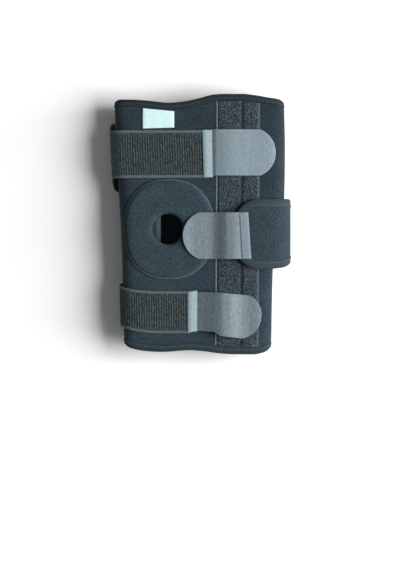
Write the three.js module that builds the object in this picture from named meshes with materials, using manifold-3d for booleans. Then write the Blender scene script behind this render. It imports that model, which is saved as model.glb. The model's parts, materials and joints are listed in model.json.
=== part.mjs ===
// Patellar knee brace: a neoprene wrap closed into a flattened sleeve, lying on its back with the front up.
// Millimetres. +Z is up off the surface, +Y runs from the calf end to the thigh end, and +X is to the right
// of someone who looks down on the front. The origin is the middle of the footprint, on the surface.

import * as THREE from "three";
import { mergeVertices } from "three/addons/utils/BufferGeometryUtils.js";
import Module from "manifold-3d";

const wasm = await Module();
wasm.setup();

// Material thicknesses and the clearance between pieces that lie on each other
const GAP = 0.3;
const NEOPRENE = 4;
const ELASTIC = 2;
const HOOK_TAPE = 1.3;
const SEAM_FOLD = 0.6;
const BINDING_TAPE = 0.9;
const LABEL_CLOTH = 0.7;

// Heights of the sleeve's folds and of the two back flaps, at the middle of the neoprene wall. The outer
// flap comes from the right fold and lies over the wing's base; the inner flap comes from the left fold.
const FOLD_HEIGHT = 27;
const OUTER_FLAP_HEIGHT = 1.5 * NEOPRENE + GAP;
const FLAP_SPACING = 14;
const INNER_FLAP_HEIGHT = OUTER_FLAP_HEIGHT + FLAP_SPACING;
const INNER_FLAP_ARCH = 2.5;
const INNER_FLAP_DROOP = 4.4;
const DROOP_FROM = 0.6;

// Plan positions of the flaps' free ends and widths of the rounded corners under the folds
const OUTER_FLAP_END = -62;
const INNER_FLAP_END = -46;
const RIGHT_CORNER = 30;
const LEFT_CORNER = 10;
const FRONT_ROUNDNESS = 16;

// The sleeve from calf to thigh: share of its length, plan lines of its folds, height of its front
const SLEEVE_ROWS = [
  { along: 0, left: -83.3, right: 76.2, crown: 38.5 },
  { along: 0.3, left: -85.3, right: 77.8, crown: 40.5 },
  { along: 0.47, left: -86.9, right: 84.3, crown: 41 },
  { along: 0.62, left: -89.2, right: 90.5, crown: 41 },
  { along: 0.8, left: -91.9, right: 91.2, crown: 40.5 },
  { along: 1, left: -94, right: 90.2, crown: 39 },
];

// The wavy cut of the two ends across the front, from the left fold (-1) to the right fold (1)
const TOP_EDGE_ROWS = [
  { across: -1, y: 133.6 },
  { across: -0.95, y: 135 },
  { across: -0.8, y: 134.8 },
  { across: -0.65, y: 133.9 },
  { across: -0.36, y: 131.4 },
  { across: -0.2, y: 132.7 },
  { across: 0, y: 136.3 },
  { across: 0.09, y: 138.6 },
  { across: 0.17, y: 140.3 },
  { across: 0.3, y: 140.9 },
  { across: 0.52, y: 140.9 },
  { across: 0.67, y: 139.5 },
  { across: 0.81, y: 137.4 },
  { across: 0.96, y: 135.3 },
  { across: 1, y: 133.2 },
];
const BOTTOM_EDGE_ROWS = [
  { across: -1, y: -130.4 },
  { across: -0.97, y: -132.6 },
  { across: -0.89, y: -135 },
  { across: -0.72, y: -137.3 },
  { across: -0.5, y: -138.2 },
  { across: -0.1, y: -136.4 },
  { across: 0.12, y: -137.8 },
  { across: 0.29, y: -139.7 },
  { across: 0.5, y: -140.7 },
  { across: 0.78, y: -140.9 },
  { across: 0.88, y: -139.6 },
  { across: 0.96, y: -137.2 },
  { across: 1, y: -134 },
];
const BINDING_DEPTH = 7.6;

// Patella opening and the padded oval sewn round it
const PATELLA = { x: -36.3, y: -5.4 };
const OPENING_RADIUS = 18;
const PAD_CENTRE = { x: -35, y: -5.6 };
const PAD_HALF_WIDTH = 48.9;
const PAD_HALF_LENGTH = 53.6;
const PAD_FULLNESS = 2.25;
const PAD_HEIGHT = 2.7;
const PAD_ROWS = [
  { out: 0, height: 0.7 },
  { out: 0.06, height: 0.92 },
  { out: 0.35, height: 1 },
  { out: 0.7, height: 0.97 },
  { out: 0.86, height: 0.85 },
  { out: 0.95, height: 0.6 },
  { out: 1, height: 0.25 },
];

// Loop strip over the side stays: height of its pile across it, with a groove between two stay channels
const STRIP_LEFT = 16.7;
const STRIP_SLANT = 1.6;
const STRIP_ROWS = [
  { x: 0, height: 0.8 },
  { x: 1.8, height: 0.9 },
  { x: 4, height: 1.5 },
  { x: 15, height: 1.7 },
  { x: 26, height: 1.5 },
  { x: 28, height: 0.9 },
  { x: 30, height: 1.5 },
  { x: 37, height: 1.6 },
  { x: 44.6, height: 1.4 },
  { x: 47, height: 0.8 },
];

// Label sewn under the top edge: its two ends
const LABEL_ROWS = [
  { x: -63, top: 125.2, bottom: 103.2 },
  { x: -29, top: 122, bottom: 104.2 },
];

// Elastic straps, from the front round the left fold to the back: turn is the place on the route (see
// strapRoute), top and bottom the strap's two edges, and lift its clearance off the wall or, under the
// back, off its plain route
const UPPER_STRAP = {
  baseEnd: 56,
  rows: [
    { turn: 2.945, top: 101.6, bottom: 49.8, lift: GAP },
    { turn: 3.62, top: 101.4, bottom: 49.6, lift: 0.5 },
    { turn: 3.86, top: 101.4, bottom: 49.4, lift: 3.4 },
    { turn: 3.97, top: 101.6, bottom: 49.2, lift: 4.6 },
    { turn: 4.06, top: 105, bottom: 44, lift: 4.6 },
    { turn: 4.16, top: 109.4, bottom: 37, lift: 3.8 },
    { turn: 4.4, top: 110.4, bottom: 34, lift: 2 },
    { turn: 4.8, top: 105, bottom: 44, lift: 0 },
    { turn: 5.2, top: 102, bottom: 50, lift: 0 },
    { turn: 7, top: 102, bottom: 50, lift: 0 },
  ],
};
const LOWER_STRAP = {
  baseEnd: 42,
  rows: [
    { turn: 3.07, top: -72.3, bottom: -117.9, lift: GAP },
    { turn: 3.36, top: -72.3, bottom: -118.1, lift: GAP },
    { turn: 3.62, top: -71, bottom: -116.1, lift: 0.5 },
    { turn: 3.76, top: -69.4, bottom: -113.9, lift: 1 },
    { turn: 3.89, top: -67.2, bottom: -111.2, lift: 1.8 },
    { turn: 4, top: -64.8, bottom: -110, lift: 1.9 },
    { turn: 4.6, top: -63, bottom: -109, lift: 0 },
    { turn: 7, top: -63, bottom: -109, lift: 0 },
  ],
};
const STRAP_CORNER = 30;
const STRAP_BASE_LENGTH = 32;
const STRAP_SEAT_RAMP = 10;

// Hook tabs: the sewn end, the round tip, the middle line with its half width and slope, the share of
// the width that the sewn end lacks, its sideways slant, the lean of the tip, and the underside's height
const TAB_ROUND = 17;
const SEAM_WIDTH = 9.6;
const SEAM_EASE = 40;
const ON_ELASTIC = GAP + ELASTIC + GAP;
const UPPER_TAB = {
  seam: 2.4,
  tip: 80.8,
  middle: 77.2,
  half: 25,
  flare: 0,
  slope: 0,
  slant: 0.03,
  lean: 0,
  rows: [
    { x: 2.4, lift: ON_ELASTIC },
    { x: 11, lift: ON_ELASTIC },
    { x: 17, lift: 4.2 },
    { x: 28, lift: 5.1 },
    { x: 56, lift: 3 },
    { x: 72, lift: 2.2 },
    { x: 80.8, lift: 1.8 },
  ],
};
const LOWER_TAB = {
  seam: -14.2,
  tip: 65.2,
  middle: -93.9,
  half: 23.3,
  flare: 0.08,
  slope: -0.1,
  slant: 0,
  lean: 0.15,
  rows: [
    { x: -14.2, lift: ON_ELASTIC },
    { x: -3, lift: ON_ELASTIC + 0.3 },
    { x: 0, lift: 3.6 },
    { x: 20, lift: 9.6 },
    { x: 23, lift: 10.1 },
    { x: 30, lift: 9.4 },
    { x: 45, lift: 4.7 },
    { x: 53, lift: 3.8 },
    { x: 68, lift: 3.8 },
  ],
};

// Middle wing: a neoprene tongue sewn under the back, which comes round the right fold and over the front.
// Its rows give its two edges at places on its line (see wingLine).
const WING_BASE = 14;
const WING_REACH = 97.2;
const WING_TIP = 33.9;
const WING_ROUND = 31.5;
const WING_FULLNESS = 2.4;
const WING_CROWN = 46.8;
const WING_CROWN_X = 20;
const WING_CORNER = 30;
const WING_BINDING_START = 1.3;
const WING_ROUNDNESS = 5;
const WING_ROWS = [
  { turn: 0, top: 24.4, bottom: -42 },
  { turn: 1.6, top: 26, bottom: -42.4 },
  { turn: 2, top: 27.4, bottom: -43.2 },
  { turn: 2.3, top: 27.3, bottom: -47.2 },
  { turn: 2.5, top: 27, bottom: -48.6 },
];
const MIDDLE_TAB = {
  seam: 52.6,
  tip: -19.8,
  middle: -12.6,
  half: 25.1,
  flare: 0,
  slope: 0,
  slant: 0.069,
  lean: 0,
  rows: [
    { x: -19.8, z: 46.8 },
    { x: -6, z: 45 },
    { x: 11, z: 44.9 },
    { x: 29, z: 51.2 },
    { x: 35, z: 51.6 },
    { x: 45, z: 50.6 },
    { x: 54.6, z: 49.8 },
  ],
};

// Colours and finishes
function cloth(color, roughness = 0.9) {
  return new THREE.MeshStandardMaterial({ color, roughness, metalness: 0 });
}
const NEOPRENE_FINISH = cloth(0x323f46);
const PAD_FINISH = cloth(0x38464c);
const BINDING_FINISH = cloth(0x2e393c);
const PILE_FINISH = cloth(0x3e484b, 1);
const ELASTIC_FINISH = cloth(0x384244);
const HOOK_FINISH = cloth(0x8fa0a8, 0.75);
const LABEL_FINISH = cloth(0xdff3f4, 0.7);

const QUARTER = Math.PI / 2;
const lerp = THREE.MathUtils.lerp;
const clamp = THREE.MathUtils.clamp;
const smoothstep = THREE.MathUtils.smoothstep;

// Evenly spaced numbers from a to b, both included
function spaced(a, b, steps) {
  return Array.from({ length: steps + 1 }, (_, i) => lerp(a, b, i / steps));
}

// A smooth function through a table's rows that never swings past them
function curveThrough(rows, from, to) {
  const x = rows.map((row) => row[from]);
  const y = rows.map((row) => row[to]);
  const last = x.length - 1;
  const rise = x.slice(1).map((end, i) => (y[i + 1] - y[i]) / (end - x[i]));
  const slope = x.map((_, i) => {
    if (i === 0) return rise[0];
    if (i === last) return rise[last - 1];
    return rise[i - 1] * rise[i] > 0 ? 2 / (1 / rise[i - 1] + 1 / rise[i]) : 0;
  });
  return (at) => {
    const here = clamp(at, x[0], x[last]);
    const i = Math.max(0, x.slice(0, last).findLastIndex((start) => start <= here));
    const width = x[i + 1] - x[i];
    const t = (here - x[i]) / width;
    const blend = t * t * (3 - 2 * t);
    const lean = t * (1 - t) * width * ((1 - t) * slope[i] - t * slope[i + 1]);
    return y[i] + (y[i + 1] - y[i]) * blend + lean;
  };
}

const leftFold = curveThrough(SLEEVE_ROWS, "along", "left");
const rightFold = curveThrough(SLEEVE_ROWS, "along", "right");
const crownHeight = curveThrough(SLEEVE_ROWS, "along", "crown");
const topEdge = curveThrough(TOP_EDGE_ROWS, "across", "y");
const bottomEdge = curveThrough(BOTTOM_EDGE_ROWS, "across", "y");

// The sleeve's middle line at one share of its length, as its folds, centre and crown
function section(along) {
  const left = leftFold(along) + NEOPRENE / 2;
  const right = rightFold(along) - NEOPRENE / 2;
  const crown = crownHeight(along) - NEOPRENE / 2;
  return { left, right, centre: (left + right) / 2, half: (right - left) / 2, crown };
}

// Height of a shallow arch over a stretch that runs from 0 to 1, as a share of its full height
const arched = (share) => 1 - (2 * share - 1) ** 2;

// A sine or cosine that draws a fuller oval than an ellipse, which has a fullness of 2
const fuller = (part, fullness) => Math.sign(part) * Math.abs(part) ** (2 / fullness);

// Height of the flattened arch over the folds, as a share of its full height, from -1 to 1 across it
const arch = (across, roundness) => Math.sqrt(Math.max(0, 1 - Math.abs(across) ** roundness));

// A point on the middle of the neoprene wall, as [x, z]. turn follows the wrap once round: 0 is the outer
// flap's free end, 1 to 2 the lower right corner, 2 the right fold, 3 the crown of the front, 4 the left
// fold, 4 to 5 the lower left corner and 6 the inner flap's free end.
function wallLine(turn, along) {
  const { left, right, centre, half, crown } = section(along);
  const leg = clamp(Math.floor(turn), 0, 5);
  const share = turn - leg;
  const cos = Math.cos(share * QUARTER);
  const sin = Math.sin(share * QUARTER);
  const rise = crown - FOLD_HEIGHT;
  const droop = 1 - arch(Math.max(0, (share - DROOP_FROM) / (1 - DROOP_FROM)), 2);
  const innerFlap = INNER_FLAP_HEIGHT + INNER_FLAP_ARCH * arched(share) - INNER_FLAP_DROOP * droop;
  const legs = [
    () => [lerp(OUTER_FLAP_END, right - RIGHT_CORNER, share), OUTER_FLAP_HEIGHT],
    () => [right - RIGHT_CORNER * (1 - sin), lerp(FOLD_HEIGHT, OUTER_FLAP_HEIGHT, cos)],
    () => [centre + half * cos, FOLD_HEIGHT + rise * arch(cos, FRONT_ROUNDNESS)],
    () => [centre - half * sin, FOLD_HEIGHT + rise * arch(sin, FRONT_ROUNDNESS)],
    () => [left + LEFT_CORNER * (1 - cos), lerp(FOLD_HEIGHT, INNER_FLAP_HEIGHT, sin)],
    () => [lerp(left + LEFT_CORNER, INNER_FLAP_END, share), innerFlap],
  ];
  return legs[leg]();
}

// The finished top and bottom edges at one place round the wrap. A flap is as long as its fold.
function edges(turn) {
  const across = Math.sin((3 - clamp(turn, 2, 4)) * QUARTER);
  return { top: topEdge(across), bottom: bottomEdge(across) };
}

// The direction out of a line in the XZ plane that runs anticlockwise
function outward(line, turn) {
  const step = 1e-3;
  const [x0, z0] = line(turn - step);
  const [x1, z1] = line(turn + step);
  const length = Math.hypot(x1 - x0, z1 - z0);
  return [(z1 - z0) / length, (x0 - x1) / length];
}

// A point at a place round the wrap, a height y, and a rise off the wall's outer face
function wrap(turn, y, rise) {
  const { top, bottom } = edges(turn);
  const along = clamp((y - bottom) / (top - bottom), 0, 1);
  const line = (place) => wallLine(place, along);
  const [x, z] = line(turn);
  const [nx, nz] = outward(line, turn);
  const off = NEOPRENE / 2 + rise;
  return new THREE.Vector3(x + nx * off, y, z + nz * off);
}

// The place round the wrap of a plan point on the front
function frontTurn(x, y) {
  let turn = 3;
  for (let pass = 0; pass < 8; pass++) {
    const { top, bottom } = edges(turn);
    const { centre, half } = section(clamp((y - bottom) / (top - bottom), 0, 1));
    turn = 3 - Math.asin(clamp((x - centre) / half, -1, 1)) / QUARTER;
  }
  return turn;
}

// A point over the front at a plan position and a rise off the wall
function onFront(x, y, rise) {
  const first = wrap(frontTurn(x, y), y, rise);
  return wrap(frontTurn(2 * x - first.x, y), y, rise);
}

// A closed sheet between two grids of points. A ring's first column follows its last.
function sheet(columns, rows, outer, inner, ring = false) {
  const points = [];
  const faces = [];
  for (const side of [outer, inner]) {
    for (let i = 0; i < columns; i++) {
      for (let j = 0; j < rows; j++) points.push(side(i, j));
    }
  }
  const at = (side, i, j) => side * columns * rows + (i % columns) * rows + j;
  const quad = (a, b, c, d) => faces.push(a, b, c, a, c, d);
  const spans = ring ? columns : columns - 1;
  for (let i = 0; i < spans; i++) {
    for (let j = 0; j < rows - 1; j++) {
      quad(at(0, i, j), at(0, i + 1, j), at(0, i + 1, j + 1), at(0, i, j + 1));
      quad(at(1, i, j), at(1, i, j + 1), at(1, i + 1, j + 1), at(1, i + 1, j));
    }
    quad(at(0, i, 0), at(1, i, 0), at(1, i + 1, 0), at(0, i + 1, 0));
    quad(at(0, i, rows - 1), at(0, i + 1, rows - 1), at(1, i + 1, rows - 1), at(1, i, rows - 1));
  }
  for (let j = 0; !ring && j < rows - 1; j++) {
    quad(at(0, 0, j), at(0, 0, j + 1), at(1, 0, j + 1), at(1, 0, j));
    const end = columns - 1;
    quad(at(0, end, j), at(1, end, j), at(1, end, j + 1), at(0, end, j + 1));
  }
  const geometry = new THREE.BufferGeometry().setFromPoints(points);
  geometry.setIndex(faceOut(points, faces));
  return geometry;
}

// The same faces, turned round if they enclose a negative volume
function faceOut(points, faces) {
  let volume = 0;
  for (let i = 0; i < faces.length; i += 3) {
    const [a, b, c] = [points[faces[i]], points[faces[i + 1]], points[faces[i + 2]]];
    volume += a.dot(new THREE.Vector3().crossVectors(b, c));
  }
  return volume > 0 ? faces : faces.toReversed();
}

// three.js geometry to a manifold-3d solid, and back
function solidOf(geometry) {
  const bare = geometry.clone();
  bare.deleteAttribute("normal");
  bare.deleteAttribute("uv");
  const merged = mergeVertices(bare);
  const vertProperties = merged.attributes.position.array;
  const triVerts = new Uint32Array(merged.index.array);
  return new wasm.Manifold(new wasm.Mesh({ numProp: 3, vertProperties, triVerts }));
}
function geometryOf(solid) {
  const { vertProperties, triVerts } = solid.getMesh();
  const geometry = new THREE.BufferGeometry();
  geometry.setAttribute("position", new THREE.BufferAttribute(vertProperties, 3));
  geometry.setIndex(new THREE.BufferAttribute(triVerts, 1));
  return geometry;
}

// Places round the wrap where its wall is drawn: few on the flat flaps, more on the folds and the front
const WRAP_TURNS = [
  ...spaced(0, 1, 3),
  ...spaced(1, 2, 6).slice(1),
  ...spaced(2, 4, 22).slice(1),
  ...spaced(4, 5, 6).slice(1),
  ...spaced(5, 5 + DROOP_FROM, 3).slice(1),
  ...spaced(5 + DROOP_FROM, 6, 4).slice(1),
];

function sleeveWrap() {
  const tuck = BINDING_TAPE + GAP;
  const shares = spaced(0, 1, 13);
  const heights = WRAP_TURNS.map((turn) => {
    const { top, bottom } = edges(turn);
    const clear = shares.map((share) => lerp(bottom + BINDING_DEPTH, top - BINDING_DEPTH, share));
    return [bottom + tuck, ...clear, top - tuck];
  });
  const wall = (rise) => (i, j) => wrap(WRAP_TURNS[i], heights[i][j], rise);
  const whole = sheet(WRAP_TURNS.length, heights[0].length, wall(0), wall(-NEOPRENE));
  const depth = FOLD_HEIGHT;
  const cutter = new THREE.CylinderGeometry(OPENING_RADIUS, OPENING_RADIUS, depth, 40);
  cutter.rotateX(QUARTER).translate(PATELLA.x, PATELLA.y, FOLD_HEIGHT + depth / 2);
  return geometryOf(solidOf(whole).subtract(solidOf(cutter)));
}

// Section of a binding tape folded over an edge: how deep it reaches from the finished edge, and its rise
const LEG = GAP + BINDING_TAPE;
const TAPE_OUTSIDE = [
  { depth: BINDING_DEPTH, rise: LEG },
  { depth: BINDING_TAPE, rise: LEG },
  { depth: 0, rise: -0.15 * NEOPRENE },
  { depth: 0, rise: -0.85 * NEOPRENE },
  { depth: BINDING_TAPE, rise: -NEOPRENE - LEG },
  { depth: BINDING_DEPTH, rise: -NEOPRENE - LEG },
];
const TAPE_INSIDE = [
  { depth: BINDING_DEPTH, rise: GAP },
  { depth: 2 * BINDING_TAPE, rise: GAP },
  { depth: BINDING_TAPE, rise: GAP },
  { depth: BINDING_TAPE, rise: -NEOPRENE - GAP },
  { depth: 2 * BINDING_TAPE, rise: -NEOPRENE - GAP },
  { depth: BINDING_DEPTH, rise: -NEOPRENE - GAP },
];

// A binding along an edge that place(i, depth, rise) describes station by station
function binding(stations, place) {
  const side = (profile) => (i, j) => place(i, profile[j].depth, profile[j].rise);
  return sheet(stations, TAPE_OUTSIDE.length, side(TAPE_OUTSIDE), side(TAPE_INSIDE));
}

function topBinding() {
  return binding(WRAP_TURNS.length, (i, depth, rise) => {
    return wrap(WRAP_TURNS[i], edges(WRAP_TURNS[i]).top - depth, rise);
  });
}

function bottomBinding() {
  return binding(WRAP_TURNS.length, (i, depth, rise) => {
    return wrap(WRAP_TURNS[i], edges(WRAP_TURNS[i]).bottom + depth, rise);
  });
}

// The padded oval, drawn in rings from the opening to the sewn edge
function patellaPad() {
  const spokes = 48;
  const height = curveThrough(PAD_ROWS, "out", "height");
  const place = (rise) => (i, j) => {
    const angle = (i / spokes) * 2 * Math.PI;
    const { out } = PAD_ROWS[j];
    const cos = Math.cos(angle);
    const sin = Math.sin(angle);
    const edgeX = PAD_CENTRE.x + PAD_HALF_WIDTH * fuller(cos, PAD_FULLNESS);
    const edgeY = PAD_CENTRE.y + PAD_HALF_LENGTH * fuller(sin, PAD_FULLNESS);
    const x = lerp(PATELLA.x + OPENING_RADIUS * cos, edgeX, out);
    const y = lerp(PATELLA.y + OPENING_RADIUS * sin, edgeY, out);
    return onFront(x, y, rise(out));
  };
  const outer = place((out) => GAP + PAD_HEIGHT * height(out));
  return sheet(spokes, PAD_ROWS.length, outer, place(() => GAP), true);
}

function loopStrip() {
  const shares = spaced(0, 1, 14);
  const place = (rise) => (i, j) => {
    const x = STRIP_LEFT + STRIP_ROWS[i].x + STRIP_SLANT * (shares[j] - 1);
    const { top, bottom } = edges(frontTurn(x, lerp(bottomEdge(0), topEdge(0), shares[j])));
    const margin = BINDING_DEPTH + GAP;
    return onFront(x, lerp(bottom + margin, top - margin, shares[j]), rise(STRIP_ROWS[i].height));
  };
  return sheet(STRIP_ROWS.length, shares.length, place((height) => GAP + height), place(() => GAP));
}

function label() {
  const xs = spaced(LABEL_ROWS[0].x, LABEL_ROWS[1].x, 4);
  const top = curveThrough(LABEL_ROWS, "x", "top");
  const bottom = curveThrough(LABEL_ROWS, "x", "bottom");
  const place = (rise) => (i, j) => onFront(xs[i], lerp(bottom(xs[i]), top(xs[i]), j / 2), rise);
  return sheet(xs.length, 3, place(GAP + LABEL_CLOTH), place(GAP));
}

// A point on a strap's route: over the front to the left fold (turn 4), down round the corner (5), flat
// along the surface, and from turn 6 up to its seat under the outer flap (7)
function strapRoute(turn, y, rise, baseEnd) {
  if (turn <= 4) return wrap(turn, y, rise);
  const { top, bottom } = edges(4);
  const left = leftFold(clamp((y - bottom) / (top - bottom), 0, 1));
  const baseStart = baseEnd - STRAP_BASE_LENGTH;
  const seat = OUTER_FLAP_HEIGHT - NEOPRENE / 2 - GAP;
  const line = (place) => {
    const leg = clamp(Math.floor(place), 4, 6);
    const share = place - leg;
    const cos = Math.cos(share * QUARTER);
    const sin = Math.sin(share * QUARTER);
    if (leg === 4) return [left + STRAP_CORNER * (1 - cos), lerp(FOLD_HEIGHT, ELASTIC, sin)];
    if (leg === 5) return [lerp(left + STRAP_CORNER, baseStart, share), ELASTIC];
    const x = lerp(baseStart, baseEnd, share);
    return [x, lerp(ELASTIC, seat, smoothstep(x, baseStart, baseStart + STRAP_SEAT_RAMP))];
  };
  const [x, z] = line(turn);
  const [nx, nz] = outward(line, turn);
  return new THREE.Vector3(x + nx * rise, y, Math.max(0, z + nz * rise));
}

function elasticStrap({ rows, baseEnd }) {
  const top = curveThrough(rows, "turn", "top");
  const bottom = curveThrough(rows, "turn", "bottom");
  const lift = curveThrough(rows, "turn", "lift");
  const turns = [
    ...spaced(rows[0].turn, 3.7, 6),
    ...spaced(3.7, 5, 15).slice(1),
    ...spaced(5, 6, 3).slice(1),
    ...spaced(6, 7, 8).slice(1),
  ];
  const shares = spaced(0, 1, 4);
  const place = (thickness) => (i, j) => {
    const turn = turns[i];
    return strapRoute(turn, lerp(bottom(turn), top(turn), shares[j]), lift(turn) + thickness, baseEnd);
  };
  return sheet(turns.length, shares.length, place(ELASTIC), place(0));
}

// A hook tab: a thicker sewn end, a plain stretch and a tip rounded to an arc. under(x, y, rise) gives a
// point over the front.
function hookTab({ seam, tip, middle, half, flare, slope, slant, lean }, under) {
  const way = Math.sign(tip - seam);
  const tipRadius = (half ** 2 + TAB_ROUND ** 2) / (2 * TAB_ROUND);
  const tipCentre = tip - way * tipRadius;
  const roundFrom = tip - way * TAB_ROUND;
  const firstAngle = Math.acos(half / tipRadius);
  const stepDown = 0.3;
  const foldEnd = seam + way * SEAM_WIDTH;
  const fromSeam = (x) => smoothstep(Math.abs(x - seam), 0, SEAM_EASE);
  const flared = (x) => half * (1 - flare * (1 - fromSeam(x)));
  const stations = [
    ...spaced(seam, foldEnd, 2).map((x) => ({ x, wide: flared(x), fold: 1 })),
    ...spaced(foldEnd + way * stepDown, roundFrom, 9).map((x) => ({ x, wide: flared(x), fold: 0 })),
    ...spaced(firstAngle, 0.97 * QUARTER, 7).slice(1).map((angle) => {
      const x = tipCentre + way * tipRadius * Math.sin(angle);
      return { x, wide: tipRadius * Math.cos(angle), fold: 0 };
    }),
  ];
  const shares = spaced(-1, 1, 6);
  const place = (thick) => (i, j) => {
    const { x, wide, fold } = stations[i];
    const y = middle + slope * (x - seam) + shares[j] * wide;
    const slanted = slant * (1 - fromSeam(x));
    const leaning = lean * smoothstep(Math.abs(x - seam), 0, Math.abs(tip - seam));
    const skewed = x + (leaning - slanted) * shares[j] * wide;
    return under(skewed, y, thick ? HOOK_TAPE + fold * SEAM_FOLD : 0);
  };
  return sheet(stations.length, shares.length, place(true), place(false));
}

function frontTab(tab) {
  const lift = curveThrough(tab.rows, "x", "lift");
  return hookTab(tab, (x, y, rise) => onFront(x, y, lift(x) + rise));
}

function middleTab() {
  const height = curveThrough(MIDDLE_TAB.rows, "x", "z");
  return hookTab(MIDDLE_TAB, (x, y, rise) => new THREE.Vector3(x, y, height(x) + rise));
}

// The wing's middle line, as [x, z]: 0 to 1 flat on the surface under the back, 1 to 2 the lower corner,
// 2 the right fold, 2 to 3 over the front
function wingLine(turn) {
  const leg = clamp(Math.floor(turn), 0, 2);
  const share = turn - leg;
  const cos = Math.cos(share * QUARTER);
  const sin = Math.sin(share * QUARTER);
  const fold = WING_REACH - NEOPRENE / 2;
  const over = fold - WING_CROWN_X;
  const legs = [
    () => [lerp(WING_BASE, fold - WING_CORNER, share), NEOPRENE / 2],
    () => [fold - WING_CORNER * (1 - sin), lerp(FOLD_HEIGHT, NEOPRENE / 2, cos)],
    () => [WING_CROWN_X + over * cos, lerp(FOLD_HEIGHT, WING_CROWN, arch(cos, WING_ROUNDNESS))],
  ];
  return legs[leg]();
}

// The place on the wing's line of a plan position over the front
function wingTurn(x) {
  return 2 + Math.acos((x - WING_CROWN_X) / (WING_REACH - NEOPRENE / 2 - WING_CROWN_X)) / QUARTER;
}

const wingTop = curveThrough(WING_ROWS, "turn", "top");
const wingBottom = curveThrough(WING_ROWS, "turn", "bottom");
const wingMiddle = (turn) => (wingTop(turn) + wingBottom(turn)) / 2;
const wingHalf = (turn) => (wingTop(turn) - wingBottom(turn)) / 2;

// A place on the wing's round end, as its turn and y: the angle runs from one edge (a quarter turn) to the
// other, and depth is the distance in from the edge
function wingEnd(angle, depth) {
  const cos = fuller(Math.cos(angle), WING_FULLNESS);
  const sin = fuller(Math.sin(angle), WING_FULLNESS);
  const turn = wingTurn(WING_ROUND_FROM - (WING_ROUND - depth) * cos);
  return { turn, y: wingMiddle(3) + (wingHalf(3) - depth) * sin };
}

// A point on the wing at a place on its line, a height y, and a rise off its outer face
function onWing(turn, y, rise) {
  const [x, z] = wingLine(turn);
  const [nx, nz] = outward(wingLine, turn);
  const off = NEOPRENE / 2 + rise;
  return new THREE.Vector3(x + nx * off, y, z + nz * off);
}

// Straight stretch of the wing's edges, up to where its round end begins
const WING_ROUND_FROM = WING_TIP + WING_ROUND;
const WING_TURNS = [
  ...spaced(0, 1, 2),
  ...spaced(1, 2, 6).slice(1),
  ...spaced(2, wingTurn(WING_ROUND_FROM), 7).slice(1),
];

function middleWing() {
  const tuck = BINDING_TAPE + GAP;
  const rounded = spaced(0.97 * QUARTER, 0.03 * QUARTER, 8);
  const stations = [
    ...WING_TURNS.map((turn) => ({ turn, half: wingHalf(turn) - tuck })),
    ...rounded.map((angle) => {
      const { turn, y } = wingEnd(angle, tuck);
      return { turn, half: y - wingMiddle(3) };
    }),
  ];
  const shares = spaced(-1, 1, 6);
  const place = (rise) => (i, j) => {
    const { turn, half } = stations[i];
    return onWing(turn, wingMiddle(turn) + shares[j] * half, rise);
  };
  return sheet(stations.length, shares.length, place(0), place(-NEOPRENE));
}

// The wing's binding starts where the wing leaves the surface. It runs out along one edge, round the end
// and back.
function wingBinding() {
  const bound = WING_TURNS.filter((turn) => turn > WING_BINDING_START);
  const straight = (side) => bound.map((turn) => ({ turn, side }));
  const round = spaced(QUARTER, -QUARTER, 18).slice(1, -1).map((angle) => ({ angle }));
  const stations = [...straight(1), ...round, ...straight(-1).reverse()];
  return binding(stations.length, (i, depth, rise) => {
    const { turn, side, angle } = stations[i];
    if (side) return onWing(turn, wingMiddle(turn) + side * (wingHalf(turn) - depth), rise);
    const end = wingEnd(angle, depth);
    return onWing(end.turn, end.y, rise);
  });
}

const brace = new THREE.Group();
function add(name, geometry, material) {
  const mesh = new THREE.Mesh(geometry, material);
  mesh.name = name;
  brace.add(mesh);
}

add("sleeve_wrap", sleeveWrap(), NEOPRENE_FINISH);
add("top_binding", topBinding(), BINDING_FINISH);
add("bottom_binding", bottomBinding(), BINDING_FINISH);
add("patella_pad", patellaPad(), PAD_FINISH);
add("loop_strip", loopStrip(), PILE_FINISH);
add("label", label(), LABEL_FINISH);
add("upper_strap", elasticStrap(UPPER_STRAP), ELASTIC_FINISH);
add("upper_tab", frontTab(UPPER_TAB), HOOK_FINISH);
add("lower_strap", elasticStrap(LOWER_STRAP), ELASTIC_FINISH);
add("lower_tab", frontTab(LOWER_TAB), HOOK_FINISH);
add("middle_wing", middleWing(), NEOPRENE_FINISH);
add("wing_binding", wingBinding(), BINDING_FINISH);
add("middle_tab", middleTab(), HOOK_FINISH);

export default brace;
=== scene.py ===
import json
import math

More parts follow.
